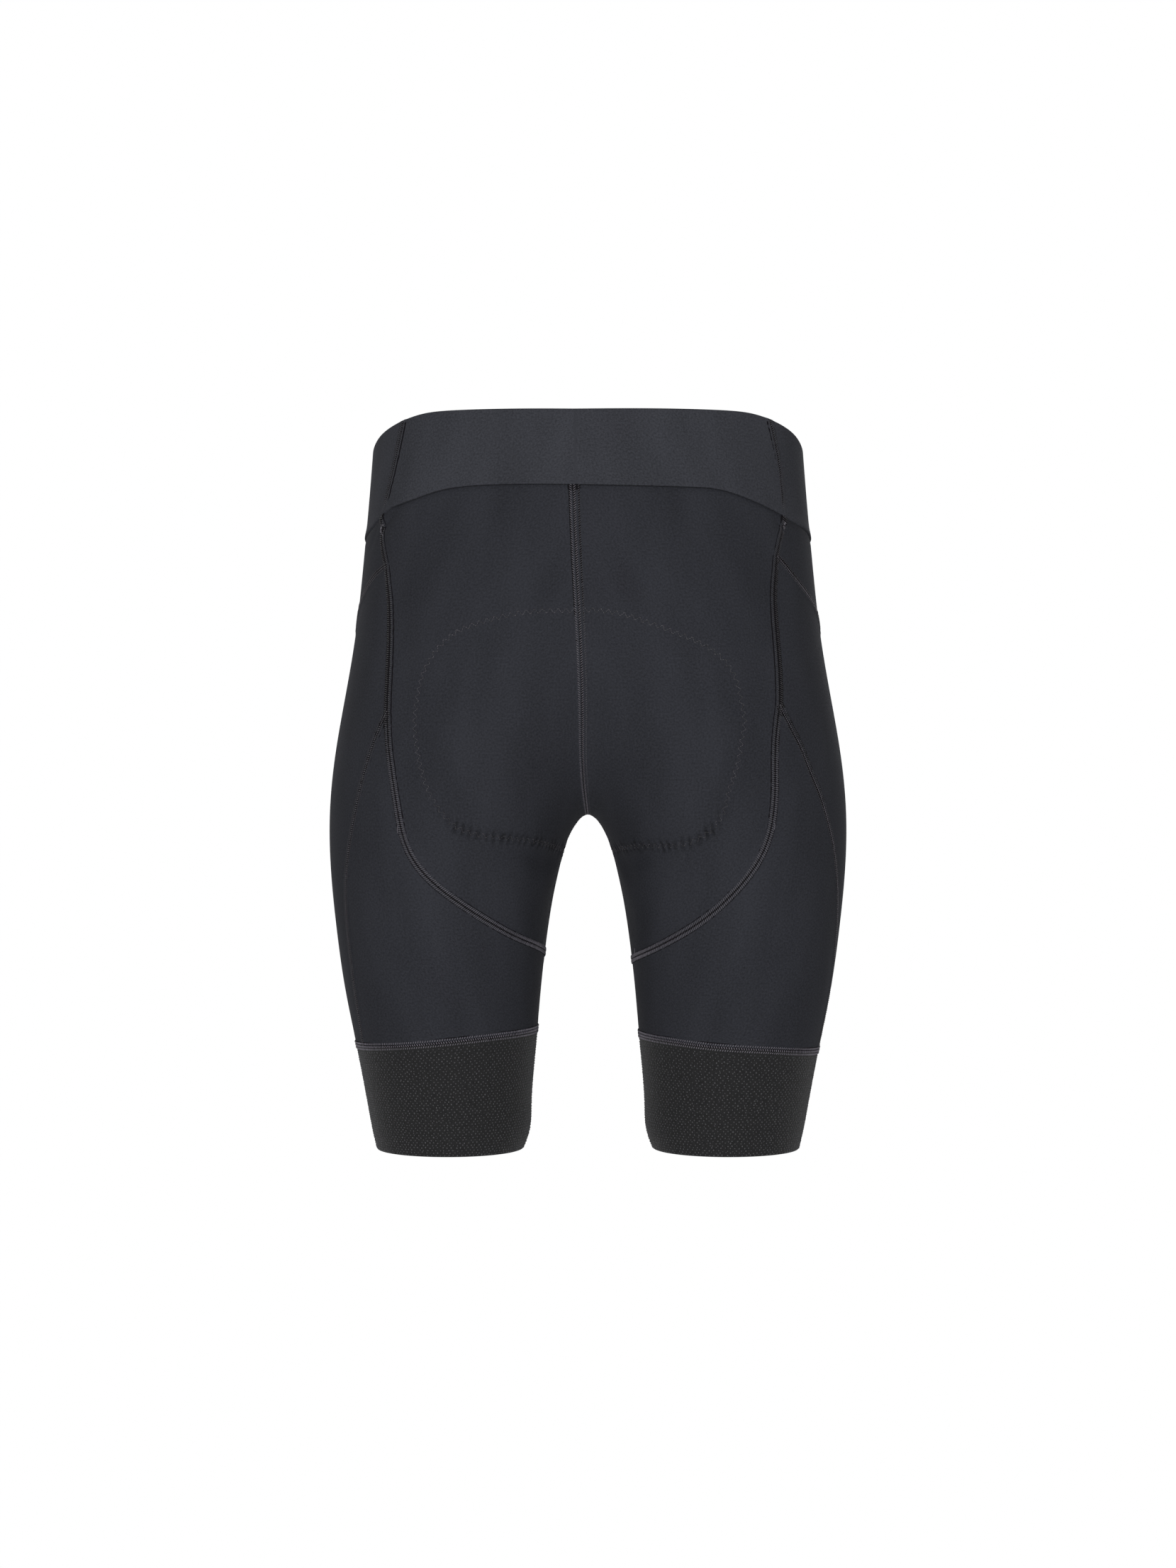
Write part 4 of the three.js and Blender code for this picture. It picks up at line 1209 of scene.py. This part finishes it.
class ShortsSettings(PropertyGroup):
    """Colours and the key light's power, which a user would change."""

    knit_colour: FloatVectorProperty(
        name="Body knit", description="Colour of the panels", subtype="COLOR", size=3,
        default=linear("#28292e"), min=0, max=1,
    )
    waist_colour: FloatVectorProperty(
        name="Waistband", description="Colour of the doubled waistband", subtype="COLOR", size=3,
        default=linear("#323338"), min=0, max=1,
    )
    band_colour: FloatVectorProperty(
        name="Leg bands", description="Colour of the coarse knit", subtype="COLOR", size=3,
        default=linear("#1d1d1e"), min=0, max=1,
    )
    thread_colour: FloatVectorProperty(
        name="Thread", description="Colour of the seams' thread", subtype="COLOR", size=3,
        default=linear("#66626b"), min=0, max=1,
    )
    # also the colour of the painted shade between the stitches and along the seams' edges
    under_thread_and_shade_colour: FloatVectorProperty(
        name="Under thread and seam shade", description="Colour of the seams' dark under thread and painted shade", subtype="COLOR",
        size=3, default=linear("#0e0d10"), min=0, max=1,
    )
    loop_colour: FloatVectorProperty(
        name="Loops", description="Colour of the leg bands' raised loops", subtype="COLOR", size=3,
        default=linear("#464649"), min=0, max=1,
    )
    key_power: FloatProperty(
        name="Key light", description="Power of the soft light behind the camera", unit="POWER",
        default=64.0, min=0,
    )


def body_material():
    """The panels' knit, made once."""
    made = bpy.data.materials.get("warp_knit_body")
    return made or warp_knit("warp_knit_body", colours().knit_colour)


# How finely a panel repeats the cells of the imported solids.
SEAT_FINE, SEAT_ACROSS, BACK_FINE, SIDE_FINE, FRONT_FINE = 8, 18, 7, 6, 4
WAIST_FINE, WAIST_DOWN, BAND_FINE, BAND_DOWN = 10, 30, 4, 40

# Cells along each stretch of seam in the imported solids; each panel multiplies them.
CELLS = {
    "seat_to_hip": 2, "seat_to_thigh": 8, "seat_to_inseam": 14, "outer_thigh": 12, "hip": 11,
    "upper_inseam": 8, "lower_inseam": 12, "side_front": 20, "centre_back": 24,
    "centre_front": 11, "waist_back": 8, "waist_front": 16, "band_back": 14, "band_side": 11,
    "band_front": 18,
}

# Width, length and area of the flat pieces, in millimetres and square metres.
WAIST_BACK_CUT = (250, 58, 0.0127)
WAIST_FRONT_CUT = (520, 62, 0.0271)


def runs(side, fineness, *names):
    """The named stretches joined, in cells of a panel's own fineness."""
    return joined(*(side.cut(name, CELLS[name] * fineness) for name in names))


def build_panel(kind, side, net, waist_edges=False):
    """One panel of body knit from a net of places."""
    node = f"{kind}_{side.name}"
    points, normals = cloth_at(net, side.mirror)
    flat = points.reshape(-1, 3)
    high = relief(flat)
    if waist_edges:
        high = high + waist_edge(flat, above=False)
    crumpled = crumple_share(flat).reshape(points.shape[:2])
    points = raised_by(high, points, normals)
    mesh = sheet_mesh(f"{node}_cloth", points, normals, net, crumpled=crumpled)
    cloth_piece(mesh, PANEL_THICKNESS, body_material(), node)


class SHORTS_OT_seat(Operator):
    """Make the two halves of the seat, with the pad's line pressed into them"""

    bl_idname = "shorts.seat"
    bl_label = "Seat"

    def execute(self, context):
        for side in SIDES:
            net = net_between(
                runs(side, SEAT_ACROSS, "waist_back"),
                runs(side, SEAT_ACROSS, "upper_inseam"),
                runs(side, SEAT_FINE, "centre_back"),
                runs(side, SEAT_FINE, "seat_to_hip", "seat_to_thigh", "seat_to_inseam"),
            )
            build_panel("seat", side, net, waist_edges=True)
        return {"FINISHED"}


class SHORTS_OT_back_thigh(Operator):
    """Make the backs of the thighs, from the seat seam round the inner thigh to the leg band"""

    bl_idname = "shorts.back_thigh"
    bl_label = "Back thighs"

    def execute(self, context):
        for side in SIDES:
            net = net_between(
                runs(side, BACK_FINE, "seat_to_inseam")[::-1],
                runs(side, BACK_FINE, "band_back"),
                runs(side, BACK_FINE, "lower_inseam"),
                runs(side, BACK_FINE, "outer_thigh"),
            )
            build_panel("back_thigh", side, net)
        return {"FINISHED"}


class SHORTS_OT_side(Operator):
    """Make the side panels, from the hip seam down to the leg band"""

    bl_idname = "shorts.side"
    bl_label = "Sides"

    def execute(self, context):
        for side in SIDES:
            net = net_between(
                runs(side, SIDE_FINE, "hip"),
                runs(side, SIDE_FINE, "band_side"),
                runs(side, SIDE_FINE, "seat_to_thigh", "outer_thigh"),
                runs(side, SIDE_FINE, "side_front"),
            )
            build_panel("side", side, net)
        return {"FINISHED"}


class SHORTS_OT_front(Operator):
    """Make the two fronts, which reach round the hip to the seat"""

    bl_idname = "shorts.front"
    bl_label = "Fronts"

    def execute(self, context):
        for side in SIDES:
            inner = joined(
                runs(side, FRONT_FINE, "centre_front"),
                by_the_front(runs(side, FRONT_FINE, "upper_inseam")),
                by_the_front(runs(side, FRONT_FINE, "lower_inseam")),
            )
            net = net_between(
                runs(side, FRONT_FINE, "waist_front", "seat_to_hip"),
                runs(side, FRONT_FINE, "band_front"),
                inner,
                runs(side, FRONT_FINE, "hip", "side_front"),
            )
            build_panel("front", side, evened_out(net), waist_edges=True)
        return {"FINISHED"}


class SHORTS_OT_waistband(Operator):
    """Make the waistband's back and front, doubled knit with a folded rim"""

    bl_idname = "shorts.waistband"
    bl_label = "Waistband"

    def execute(self, context):
        material = warp_knit("warp_knit_waist", colours().waist_colour)
        for part, cut in (("back", WAIST_BACK_CUT), ("front", WAIST_FRONT_CUT)):
            node = f"waistband_{part}"
            halves = []
            for side in SIDES:
                cells = CELLS[f"waist_{part}"] * WAIST_FINE
                net = net_between(
                    side.cut(f"rim_{part}", cells),
                    side.cut(f"waist_{part}", cells),
                    side.cut(f"waist_centre_{part}", WAIST_DOWN),
                    side.cut("waist_side", WAIST_DOWN),
                )
                halves.append((*cloth_at(net, side.mirror), net * np.array([side.mirror, 1])))
            points, normals, net = (
                np.concatenate([a[:, ::-1], b[:, 1:]], axis=1) for a, b in zip(*halves)
            )
            flat = points.reshape(-1, 3)
            points = raised_by(relief(flat) + waist_edge(flat, above=True), points, normals)
            mesh = sheet_mesh(f"{node}_cloth", points, normals, net)
            cloth_piece(mesh, WAIST_THICKNESS, material, node)
        return {"FINISHED"}


# Rows and columns of raised loops on a leg band, and how unevenly they lie.
LOOP_COLUMNS, LOOP_ROWS = 178, 42
LOOP_SIZE = (1.1, 0.95, 0.55)
LOOP_SIZE_CHANGE = 0.16
LOOP_START = 0.25
LOOP_STAGGER = 0.5
LOOP_SIDEWAYS = 0.11
LOOP_UPWARDS = 0.2
LOOP_LIFT = 0.08
LOOP_TONE = (0.82, 0.15)  # the usual tone, and how much it changes
LOOP_SHADES = (0.1, 2)
LOOPS_BELOW_SEAM = 4.2
LOOPS_ABOVE_HEM = 1.2
BAND_RUNS = ("band_back", "band_front", "band_side")


def band_ring(side, down, top_drop=0.0, bottom_rise=0.0):
    """Places round a leg band: rows from the seam down to the hem, the first column repeated."""
    back, front, beside = (side.cut(name, CELLS[name] * BAND_FINE) for name in BAND_RUNS)
    top = joined(back[::-1], front, beside[::-1])
    back_top, front_top = half_lengths(top[:, 1])
    rows = []
    for share in np.linspace(0, 1, down + 1):
        height = mix(top[:, 1] - top_drop, HEM + bottom_rise, share)
        back, front = half_lengths(height)
        round_ = np.where(top[:, 0] > 0, top[:, 0] * back / back_top, top[:, 0] * front / front_top)
        rows.append(pairs(round_, height))
    return np.stack(rows)


def band_loops(side, generator):
    """Centres, axes, sizes and shades of a leg band's raised loops."""
    ring = band_ring(side, LOOP_ROWS, top_drop=LOOPS_BELOW_SEAM, bottom_rise=LOOPS_ABOVE_HEM)
    ring_points, ring_normals = cloth_at(ring, side.mirror)
    share = np.linspace(0, 1, ring_points.shape[1])
    stagger = LOOP_STAGGER * (np.arange(LOOP_ROWS + 1) % 2)
    picks = np.arange(LOOP_COLUMNS) + LOOP_START + stagger[:, None]
    picks = ((picks + generator.normal(0, LOOP_SIDEWAYS, picks.shape)) / LOOP_COLUMNS) % 1

    def picked(grid):
        columns = [
            [np.interp(at, share, row[:, k]) for k in range(3)] for at, row in zip(picks, grid)
        ]
        return np.moveaxis(np.array(columns), 1, 2).reshape(-1, 3)

    centres, normals = picked(ring_points), unit(picked(ring_normals))
    centres[:, 2] += generator.normal(0, LOOP_UPWARDS, len(centres))
    centres = centres + normals * LOOP_LIFT
    up = np.tile([0.0, 0.0, 1.0], (len(centres), 1))
    lengthwise = unit(up - normals * (up * normals).sum(1, keepdims=True))
    widthwise = np.cross(normals, lengthwise)
    size = np.array(LOOP_SIZE) * (1 + generator.normal(0, LOOP_SIZE_CHANGE, (len(centres), 3)))
    tone, change = LOOP_TONE
    tone = np.clip(tone + generator.normal(0, change, len(centres)), *LOOP_SHADES)
    return centres, lengthwise, widthwise, normals, size, tone


class SHORTS_OT_leg_bands(Operator):
    """Make the leg bands, knitted tubes with rows of small raised loops"""

    bl_idname = "shorts.leg_bands"
    bl_label = "Leg bands"

    def execute(self, context):
        ground = band_knit("coarse_knit", colours().band_colour)
        loop_yarn = yarn("loop_yarn", colours().loop_colour, roughness=0.75)
        generator = np.random.default_rng(11)
        template = grain(4, 2)
        for side in SIDES:
            node = f"leg_band_{side.name}"
            net = band_ring(side, BAND_DOWN)
            points, normals = cloth_at(net, side.mirror)
            points = raised_by(relief(points.reshape(-1, 3)), points, normals, closed=True)
            points[:, -1] = points[:, 0]
            mesh = sheet_mesh(f"{node}_cloth", points, normals, net, closed=True)
            cloth_piece(mesh, BAND_THICKNESS, ground, node)
            loops = band_loops(side, generator)
            stitch_piece(f"{node}_loops", [loops], loop_yarn, template)
        return {"FINISHED"}


PITCH = 1.4
SEAM_BED = 3.5  # half the width of the dark under thread below a flat seam's stitches, which also serves as painted shade along its edges
BRAID_PITCH = 1.55
BRAID_BED = 4.2
BRAID_END = 0.62  # how narrow the braid is at the crotch, and from which share it narrows
BRAID_NARROWS = 0.15
BAND_PITCH = 1.65
STEEP_DULL = 0.8  # how much darker the seat seam's thread looks up its steep part
STEEP_FROM = (-235, -175)

# Rows of stitches: offset, length, slant, thickness, phase, shade.
SEAT_ROWS = ((1.4, 2.7, 20, 0.6, 0.0, 0.52), (-1.4, 2.7, 20, 0.6, 0.5, 0.46))
THREE_ROWS = (
    (1.85, 1.3, 35, 0.5, 0.0, 0.1),
    (0.0, 1.5, -35, 0.6, 0.5, 0.5),
    (-1.85, 1.3, 35, 0.5, 0.0, 0.12),
)
DIM_ROWS = (
    (1.6, 1.3, 35, 0.5, 0.0, 0.14),
    (0.0, 1.3, -35, 0.5, 0.5, 0.34),
    (-1.6, 1.3, 35, 0.5, 0.0, 0.14),
)
BAND_ROWS = (
    (1.9, 1.6, 25, 0.72, 0.0, 0.7),
    (0.0, 1.8, -25, 0.72, 0.5, 0.78),
    (-1.9, 1.6, 25, 0.72, 0.0, 0.78),
)
BRAID_ROWS = (
    (-2.3, 2.5, 38, 0.62, 0.0, 0.5),
    (0.3, 2.5, -38, 0.62, 0.0, 0.52),
    (3.0, 2.1, -38, 0.5, 0.4, 0.24),
)
ROWS_BY_SEAM = {"seat": SEAT_ROWS, "inseam": SEAT_ROWS, "waist_side": DIM_ROWS}


class SHORTS_OT_centre_seams(Operator):
    """Make the braided stitches of the centre back seam and the flat centre front seam"""

    bl_idname = "shorts.centre_seams"
    bl_label = "Centre seams"

    def execute(self, context):
        thread = yarn("seam_thread", colours().thread_colour, roughness=0.6)
        # the dark under thread is also painted shade between the stitches and along the seams'
        # edges
        loops = under_thread_and_shade("under_thread_and_shade", colours().under_thread_and_shade_colour)
        generator = np.random.default_rng(3)
        line = Line(fine(left.seams["centre_back"]), 1, BRAID_PITCH)
        share = line.travelled / line.travelled[-1]
        scale = mix(1.0, BRAID_END, smooth_step(share, BRAID_NARROWS, 1.0))
        braid = stitches_on(line, BRAID_ROWS, generator, scale)
        stitch_piece("centre_back_stitches", [braid], thread)
        bed_piece("centre_back_bed", [(line, BRAID_BED * scale)], loops)
        line = Line(fine(left.seams["centre_front"]), 1, PITCH)
        stitches = stitches_on(line, SEAT_ROWS, generator)
        stitch_piece("centre_front_stitches", [stitches], thread)
        bed_piece("centre_front_bed", [(line, SEAM_BED)], loops)
        return {"FINISHED"}


class SHORTS_OT_flat_seams(Operator):
    """Make the flat seams that join the panels and the leg bands"""

    bl_idname = "shorts.flat_seams"
    bl_label = "Flat seams"

    def execute(self, context):
        thread = bpy.data.materials["seam_thread"]
        # the dark under thread is also painted shade between the stitches and along the seams'
        # edges
        loops = bpy.data.materials["under_thread_and_shade"]
        generator = np.random.default_rng(5)
        for side in SIDES:
            for name, stretches in FLAT_SEAMS.items():
                rows = ROWS_BY_SEAM.get(name, THREE_ROWS)
                line = Line(seam_places(side, *stretches), side.mirror, PITCH)
                dull = smooth_step(line.points[:, 2], *STEEP_FROM) if name == "seat" else 0.0
                stitches = stitches_on(line, rows, generator, fade=1 - STEEP_DULL * dull)
                stitch_piece(f"{name}_stitches_{side.name}", [stitches], thread)
                bed_piece(f"{name}_bed_{side.name}", [(line, SEAM_BED)], loops)
            lines = [Line(run, side.mirror, BAND_PITCH) for run in band_line_places(side)]
            parts = [stitches_on(line, BAND_ROWS, generator) for line in lines]
            stitch_piece(f"leg_band_stitches_{side.name}", parts, thread)
            bed_piece(f"leg_band_bed_{side.name}", [(line, SEAM_BED) for line in lines], loops)
        return {"FINISHED"}


KNOT_GRAINS = 9
KNOT_SPREAD = 0.8
KNOT_SIZE = (1.8, 0.5, 0.5)
KNOT_TONE = (0.5, 0.3)  # the usual tone, and how much it changes
KNOT_LIFT = 0.4
TAIL_STEP = 0.9 * 0.8  # the grains of a free end overlap
TAIL_SIZE = (0.9 * 1.3, 0.4, 0.4)
TAIL_TONE = 0.8
TAIL_CURL = 9  # degrees a millimetre
TAIL_LIFT = (0.3, 0.05)  # at its start, and more with each millimetre
# Knots where the waistband's side seams end, as (side, height, round).
KNOTS = ((left, -58.6, 62.8), (left, -61, 62), (right, -57.4, 75), (right, -60, 75.6))
# Short free ends of thread beside the seats' seams, as (side, height, round, length, direction
# in degrees from downwards to the back).
TAILS = (
    (left, -257, 113.5, 4.5, -25),
    (right, -255, 116.5, 4.0, -20),
    (left, -63, 64, 3.2, 40),
    (right, -346, 224, 4.0, 160),
)


def knot(side, height, round_, generator):
    """A few grains of thread that lie every way round one place."""
    spread = generator.normal(0, KNOT_SPREAD, (KNOT_GRAINS, 2))
    points, normals = cloth_at(np.array([round_, height]) + spread, side.mirror)
    points = points + normals * (relief(points) + KNOT_LIFT)[:, None]
    turned = unit(generator.normal(0, 1, (KNOT_GRAINS, 3)))
    lengthwise = unit(np.cross(normals, turned))
    size = np.tile(KNOT_SIZE, (KNOT_GRAINS, 1))
    tone = np.clip(generator.normal(*KNOT_TONE, KNOT_GRAINS), *SHADES)
    return points, lengthwise, np.cross(normals, lengthwise), normals, size, tone


def tail(side, height, round_, length, turn):
    """A short end of thread that curls away from its seam."""
    steps = np.arange(0, length, TAIL_STEP)
    angle = np.radians(turn + TAIL_CURL * steps)
    away = np.cumsum(np.stack([np.sin(angle), -np.cos(angle)], 1), axis=0) * TAIL_STEP
    points, normals = cloth_at(np.array([round_, height]) + away, side.mirror)
    start, more = TAIL_LIFT
    points = points + normals * (relief(points) + start + more * steps)[:, None]
    lengthwise = unit(np.gradient(points, axis=0))
    widthwise = unit(np.cross(normals, lengthwise))
    size = np.tile(TAIL_SIZE, (len(steps), 1))
    upwards = np.cross(lengthwise, widthwise)
    return points, lengthwise, widthwise, upwards, size, np.full(len(steps), TAIL_TONE)


class SHORTS_OT_loose_ends(Operator):
    """Make the small knots and free ends of thread where seams meet"""

    bl_idname = "shorts.loose_ends"
    bl_label = "Knots and thread ends"

    def execute(self, context):
        generator = np.random.default_rng(21)
        parts = [knot(*place, generator) for place in KNOTS]
        parts += [tail(*place) for place in TAILS]
        stitch_piece("loose_ends", parts, bpy.data.materials["seam_thread"])
        return {"FINISHED"}


PAD_THREAD = 0.8  # its thread's brightness, as a share of the seams'
ZIG_HALF = 2.6  # along the line, from one turn of the zig-zag to the next
ZIG_WIDE = 1.6
ZIG_STITCHES = 3  # short stitches in each leg of the zig-zag
ZIG_THICK, ZIG_HIGH = 0.45, 0.4
ZIG_LENGTH = 0.86  # share of its step that a stitch fills
ZIG_TONE = (0.3, 0.2)  # the usual tone, and how much it changes
ZIG_LOW_SHADE = 0.6  # painted shade: how much darker its thread is made low on the back, where the seat crumples and turns under
ZIG_TURN = (215, 262)  # below the waist, as PAD_TURN


def zig_zag(line, generator):
    """Centres, axes, sizes and shades of the stitches that run to and fro over a line."""
    count = len(line.points)
    phase = (np.arange(count) % (2 * ZIG_STITCHES)) / ZIG_STITCHES
    offset = ZIG_WIDE * (2 * np.abs(phase - 1) - 1)
    points = line.points + line.across * offset[:, None]
    points = points + line.normals * (relief(points) + THREAD_LIFT)[:, None]
    steps = points[1:] - points[:-1]
    lengthwise = unit(steps)
    widthwise = unit(np.cross(line.normals[1:], lengthwise))
    upwards = unit(np.cross(lengthwise, widthwise))
    long = np.linalg.norm(steps, axis=1) * ZIG_LENGTH
    size = np.stack([long, np.full(count - 1, ZIG_THICK), np.full(count - 1, ZIG_HIGH)], 1)
    # painted shade on the thread low on the back, among the crumples where the seat turns under
    hidden = smooth_step(-line.points[1:, 2], *ZIG_TURN) * (line.points[1:, 1] > 0)
    tone, change = ZIG_TONE
    tone = np.clip(tone + generator.normal(0, change, count - 1), *SHADES)
    centres = (points[1:] + points[:-1]) / 2
    return centres, lengthwise, widthwise, upwards, size, tone * (1 - ZIG_LOW_SHADE * hidden)


class SHORTS_OT_pad_line(Operator):
    """Make the zig-zag stitches that hold the pad inside"""

    bl_idname = "shorts.pad_line"
    bl_label = "Pad line"

    def execute(self, context):
        thread = yarn("pad_thread", scaled(colours().thread_colour, PAD_THREAD), roughness=0.6)
        generator = np.random.default_rng(9)
        for side in SIDES:
            lines = [Line(run, side.mirror, ZIG_HALF / ZIG_STITCHES) for run in pad_places(side)]
            parts = [zig_zag(line, generator) for line in lines]
            stitch_piece(f"pad_stitches_{side.name}", parts, thread)
        return {"FINISHED"}


CAMERA_AWAY = 2.2
CAMERA_HEIGHT = -0.23
CAMERA_LENS = 73.7
CAMERA_SENSOR = 36
LIGHT_SIZE = (1.2, 1.2)
# Soft lights, as name, share of the key's power, and place.
LIGHTS = (
    ("key", 1.0, (0.15, 2.6, -0.12)),
    ("fill_front", 0.55, (-0.3, -2.2, 1.5)),
    ("top", 0.22, (0.0, 0.1, 2.4)),
    ("rim_left", 0.14, (2.5, -0.9, 0.3)),
    ("rim_right", 0.14, (-2.5, -0.9, 0.3)),
)
AMBIENT = 0.2  # light on the cloth from all round, where the backdrop itself is 1
FLOOR_HEIGHT = -1.0
FLOOR_HALF = 0.85
FLOOR_COLOUR = (0.9, 0.9, 0.9, 1)


class SHORTS_OT_stage(Operator):
    """Make the pale floor, the soft lights and the camera"""

    bl_idname = "shorts.stage"
    bl_label = "Stage"

    def execute(self, context):
        scene = context.scene
        mesh = bpy.data.meshes.new("floor")
        bm = bmesh.new()
        bmesh.ops.create_circle(bm, cap_ends=True, segments=96, radius=FLOOR_HALF)
        bmesh.ops.translate(bm, verts=bm.verts, vec=(0, 0, FLOOR_HEIGHT))
        bm.to_mesh(mesh)
        bm.free()
        floor = bpy.data.objects.new("floor", mesh)
        scene.collection.objects.link(floor)
        material, tree = new_material("painted_board")
        finish_material(tree, {"Base Color": FLOOR_COLOUR, "Roughness": 0.8})
        mesh.materials.append(material)

        world = bpy.data.worlds.new("studio")
        scene.world = world
        world.use_nodes = True
        tree = world.node_tree
        background = tree.nodes["Background"]
        background.inputs["Color"].default_value = (1, 1, 1, 1)
        seen = add_node(tree, "ShaderNodeLightPath").outputs["Is Camera Ray"]
        strength = add_node(tree, "ShaderNodeMapRange", inputs={"Value": seen, "To Min": AMBIENT})
        tree.links.new(strength.outputs["Result"], background.inputs["Strength"])

        for name, power_share, place in LIGHTS:
            panel = bpy.data.lights.new(name, "AREA")
            panel.shape = "RECTANGLE"
            panel.size, panel.size_y = LIGHT_SIZE
            panel.energy = colours().key_power * power_share
            light = bpy.data.objects.new(name, panel)
            light.location = place
            aim = Vector((0, 0, CAMERA_HEIGHT)) - light.location
            light.rotation_euler = aim.to_track_quat("-Z", "Y").to_euler()
            scene.collection.objects.link(light)

        camera_data = bpy.data.cameras.new("camera")
        camera_data.lens = CAMERA_LENS
        camera_data.sensor_width = CAMERA_SENSOR
        camera = bpy.data.objects.new("camera", camera_data)
        camera.location = (0, CAMERA_AWAY, CAMERA_HEIGHT)
        camera.rotation_euler = (math.radians(90), 0, math.radians(180))
        scene.collection.objects.link(camera)
        scene.camera = camera
        scene.view_settings.view_transform = "Standard"
        return {"FINISHED"}


class SHORTS_PT_sidebar(Panel):
    """Lists the steps that make the shorts"""

    bl_idname = "SHORTS_PT_sidebar"
    bl_label = "Cycling shorts"
    bl_space_type = "VIEW_3D"
    bl_region_type = "UI"
    bl_category = "Shorts"

    def draw(self, context):
        for name in ShortsSettings.__annotations__:
            self.layout.prop(context.scene.shorts, name)
        for step in STEPS:
            self.layout.operator(step.bl_idname)


STEPS = (
    SHORTS_OT_stage,
    SHORTS_OT_seat,
    SHORTS_OT_back_thigh,
    SHORTS_OT_side,
    SHORTS_OT_front,
    SHORTS_OT_waistband,
    SHORTS_OT_leg_bands,
    SHORTS_OT_centre_seams,
    SHORTS_OT_flat_seams,
    SHORTS_OT_pad_line,
    SHORTS_OT_loose_ends,
)


def register():
    for kind in (ShortsSettings, *STEPS, SHORTS_PT_sidebar):
        bpy.utils.register_class(kind)
    bpy.types.Scene.shorts = PointerProperty(type=ShortsSettings)


def unregister():
    del bpy.types.Scene.shorts
    for kind in (SHORTS_PT_sidebar, *reversed(STEPS), ShortsSettings):
        bpy.utils.unregister_class(kind)


def main():
    register()
    for step in STEPS:
        group, name = step.bl_idname.split(".")
        getattr(getattr(bpy.ops, group), name)()


if __name__ == "__main__":
    main()
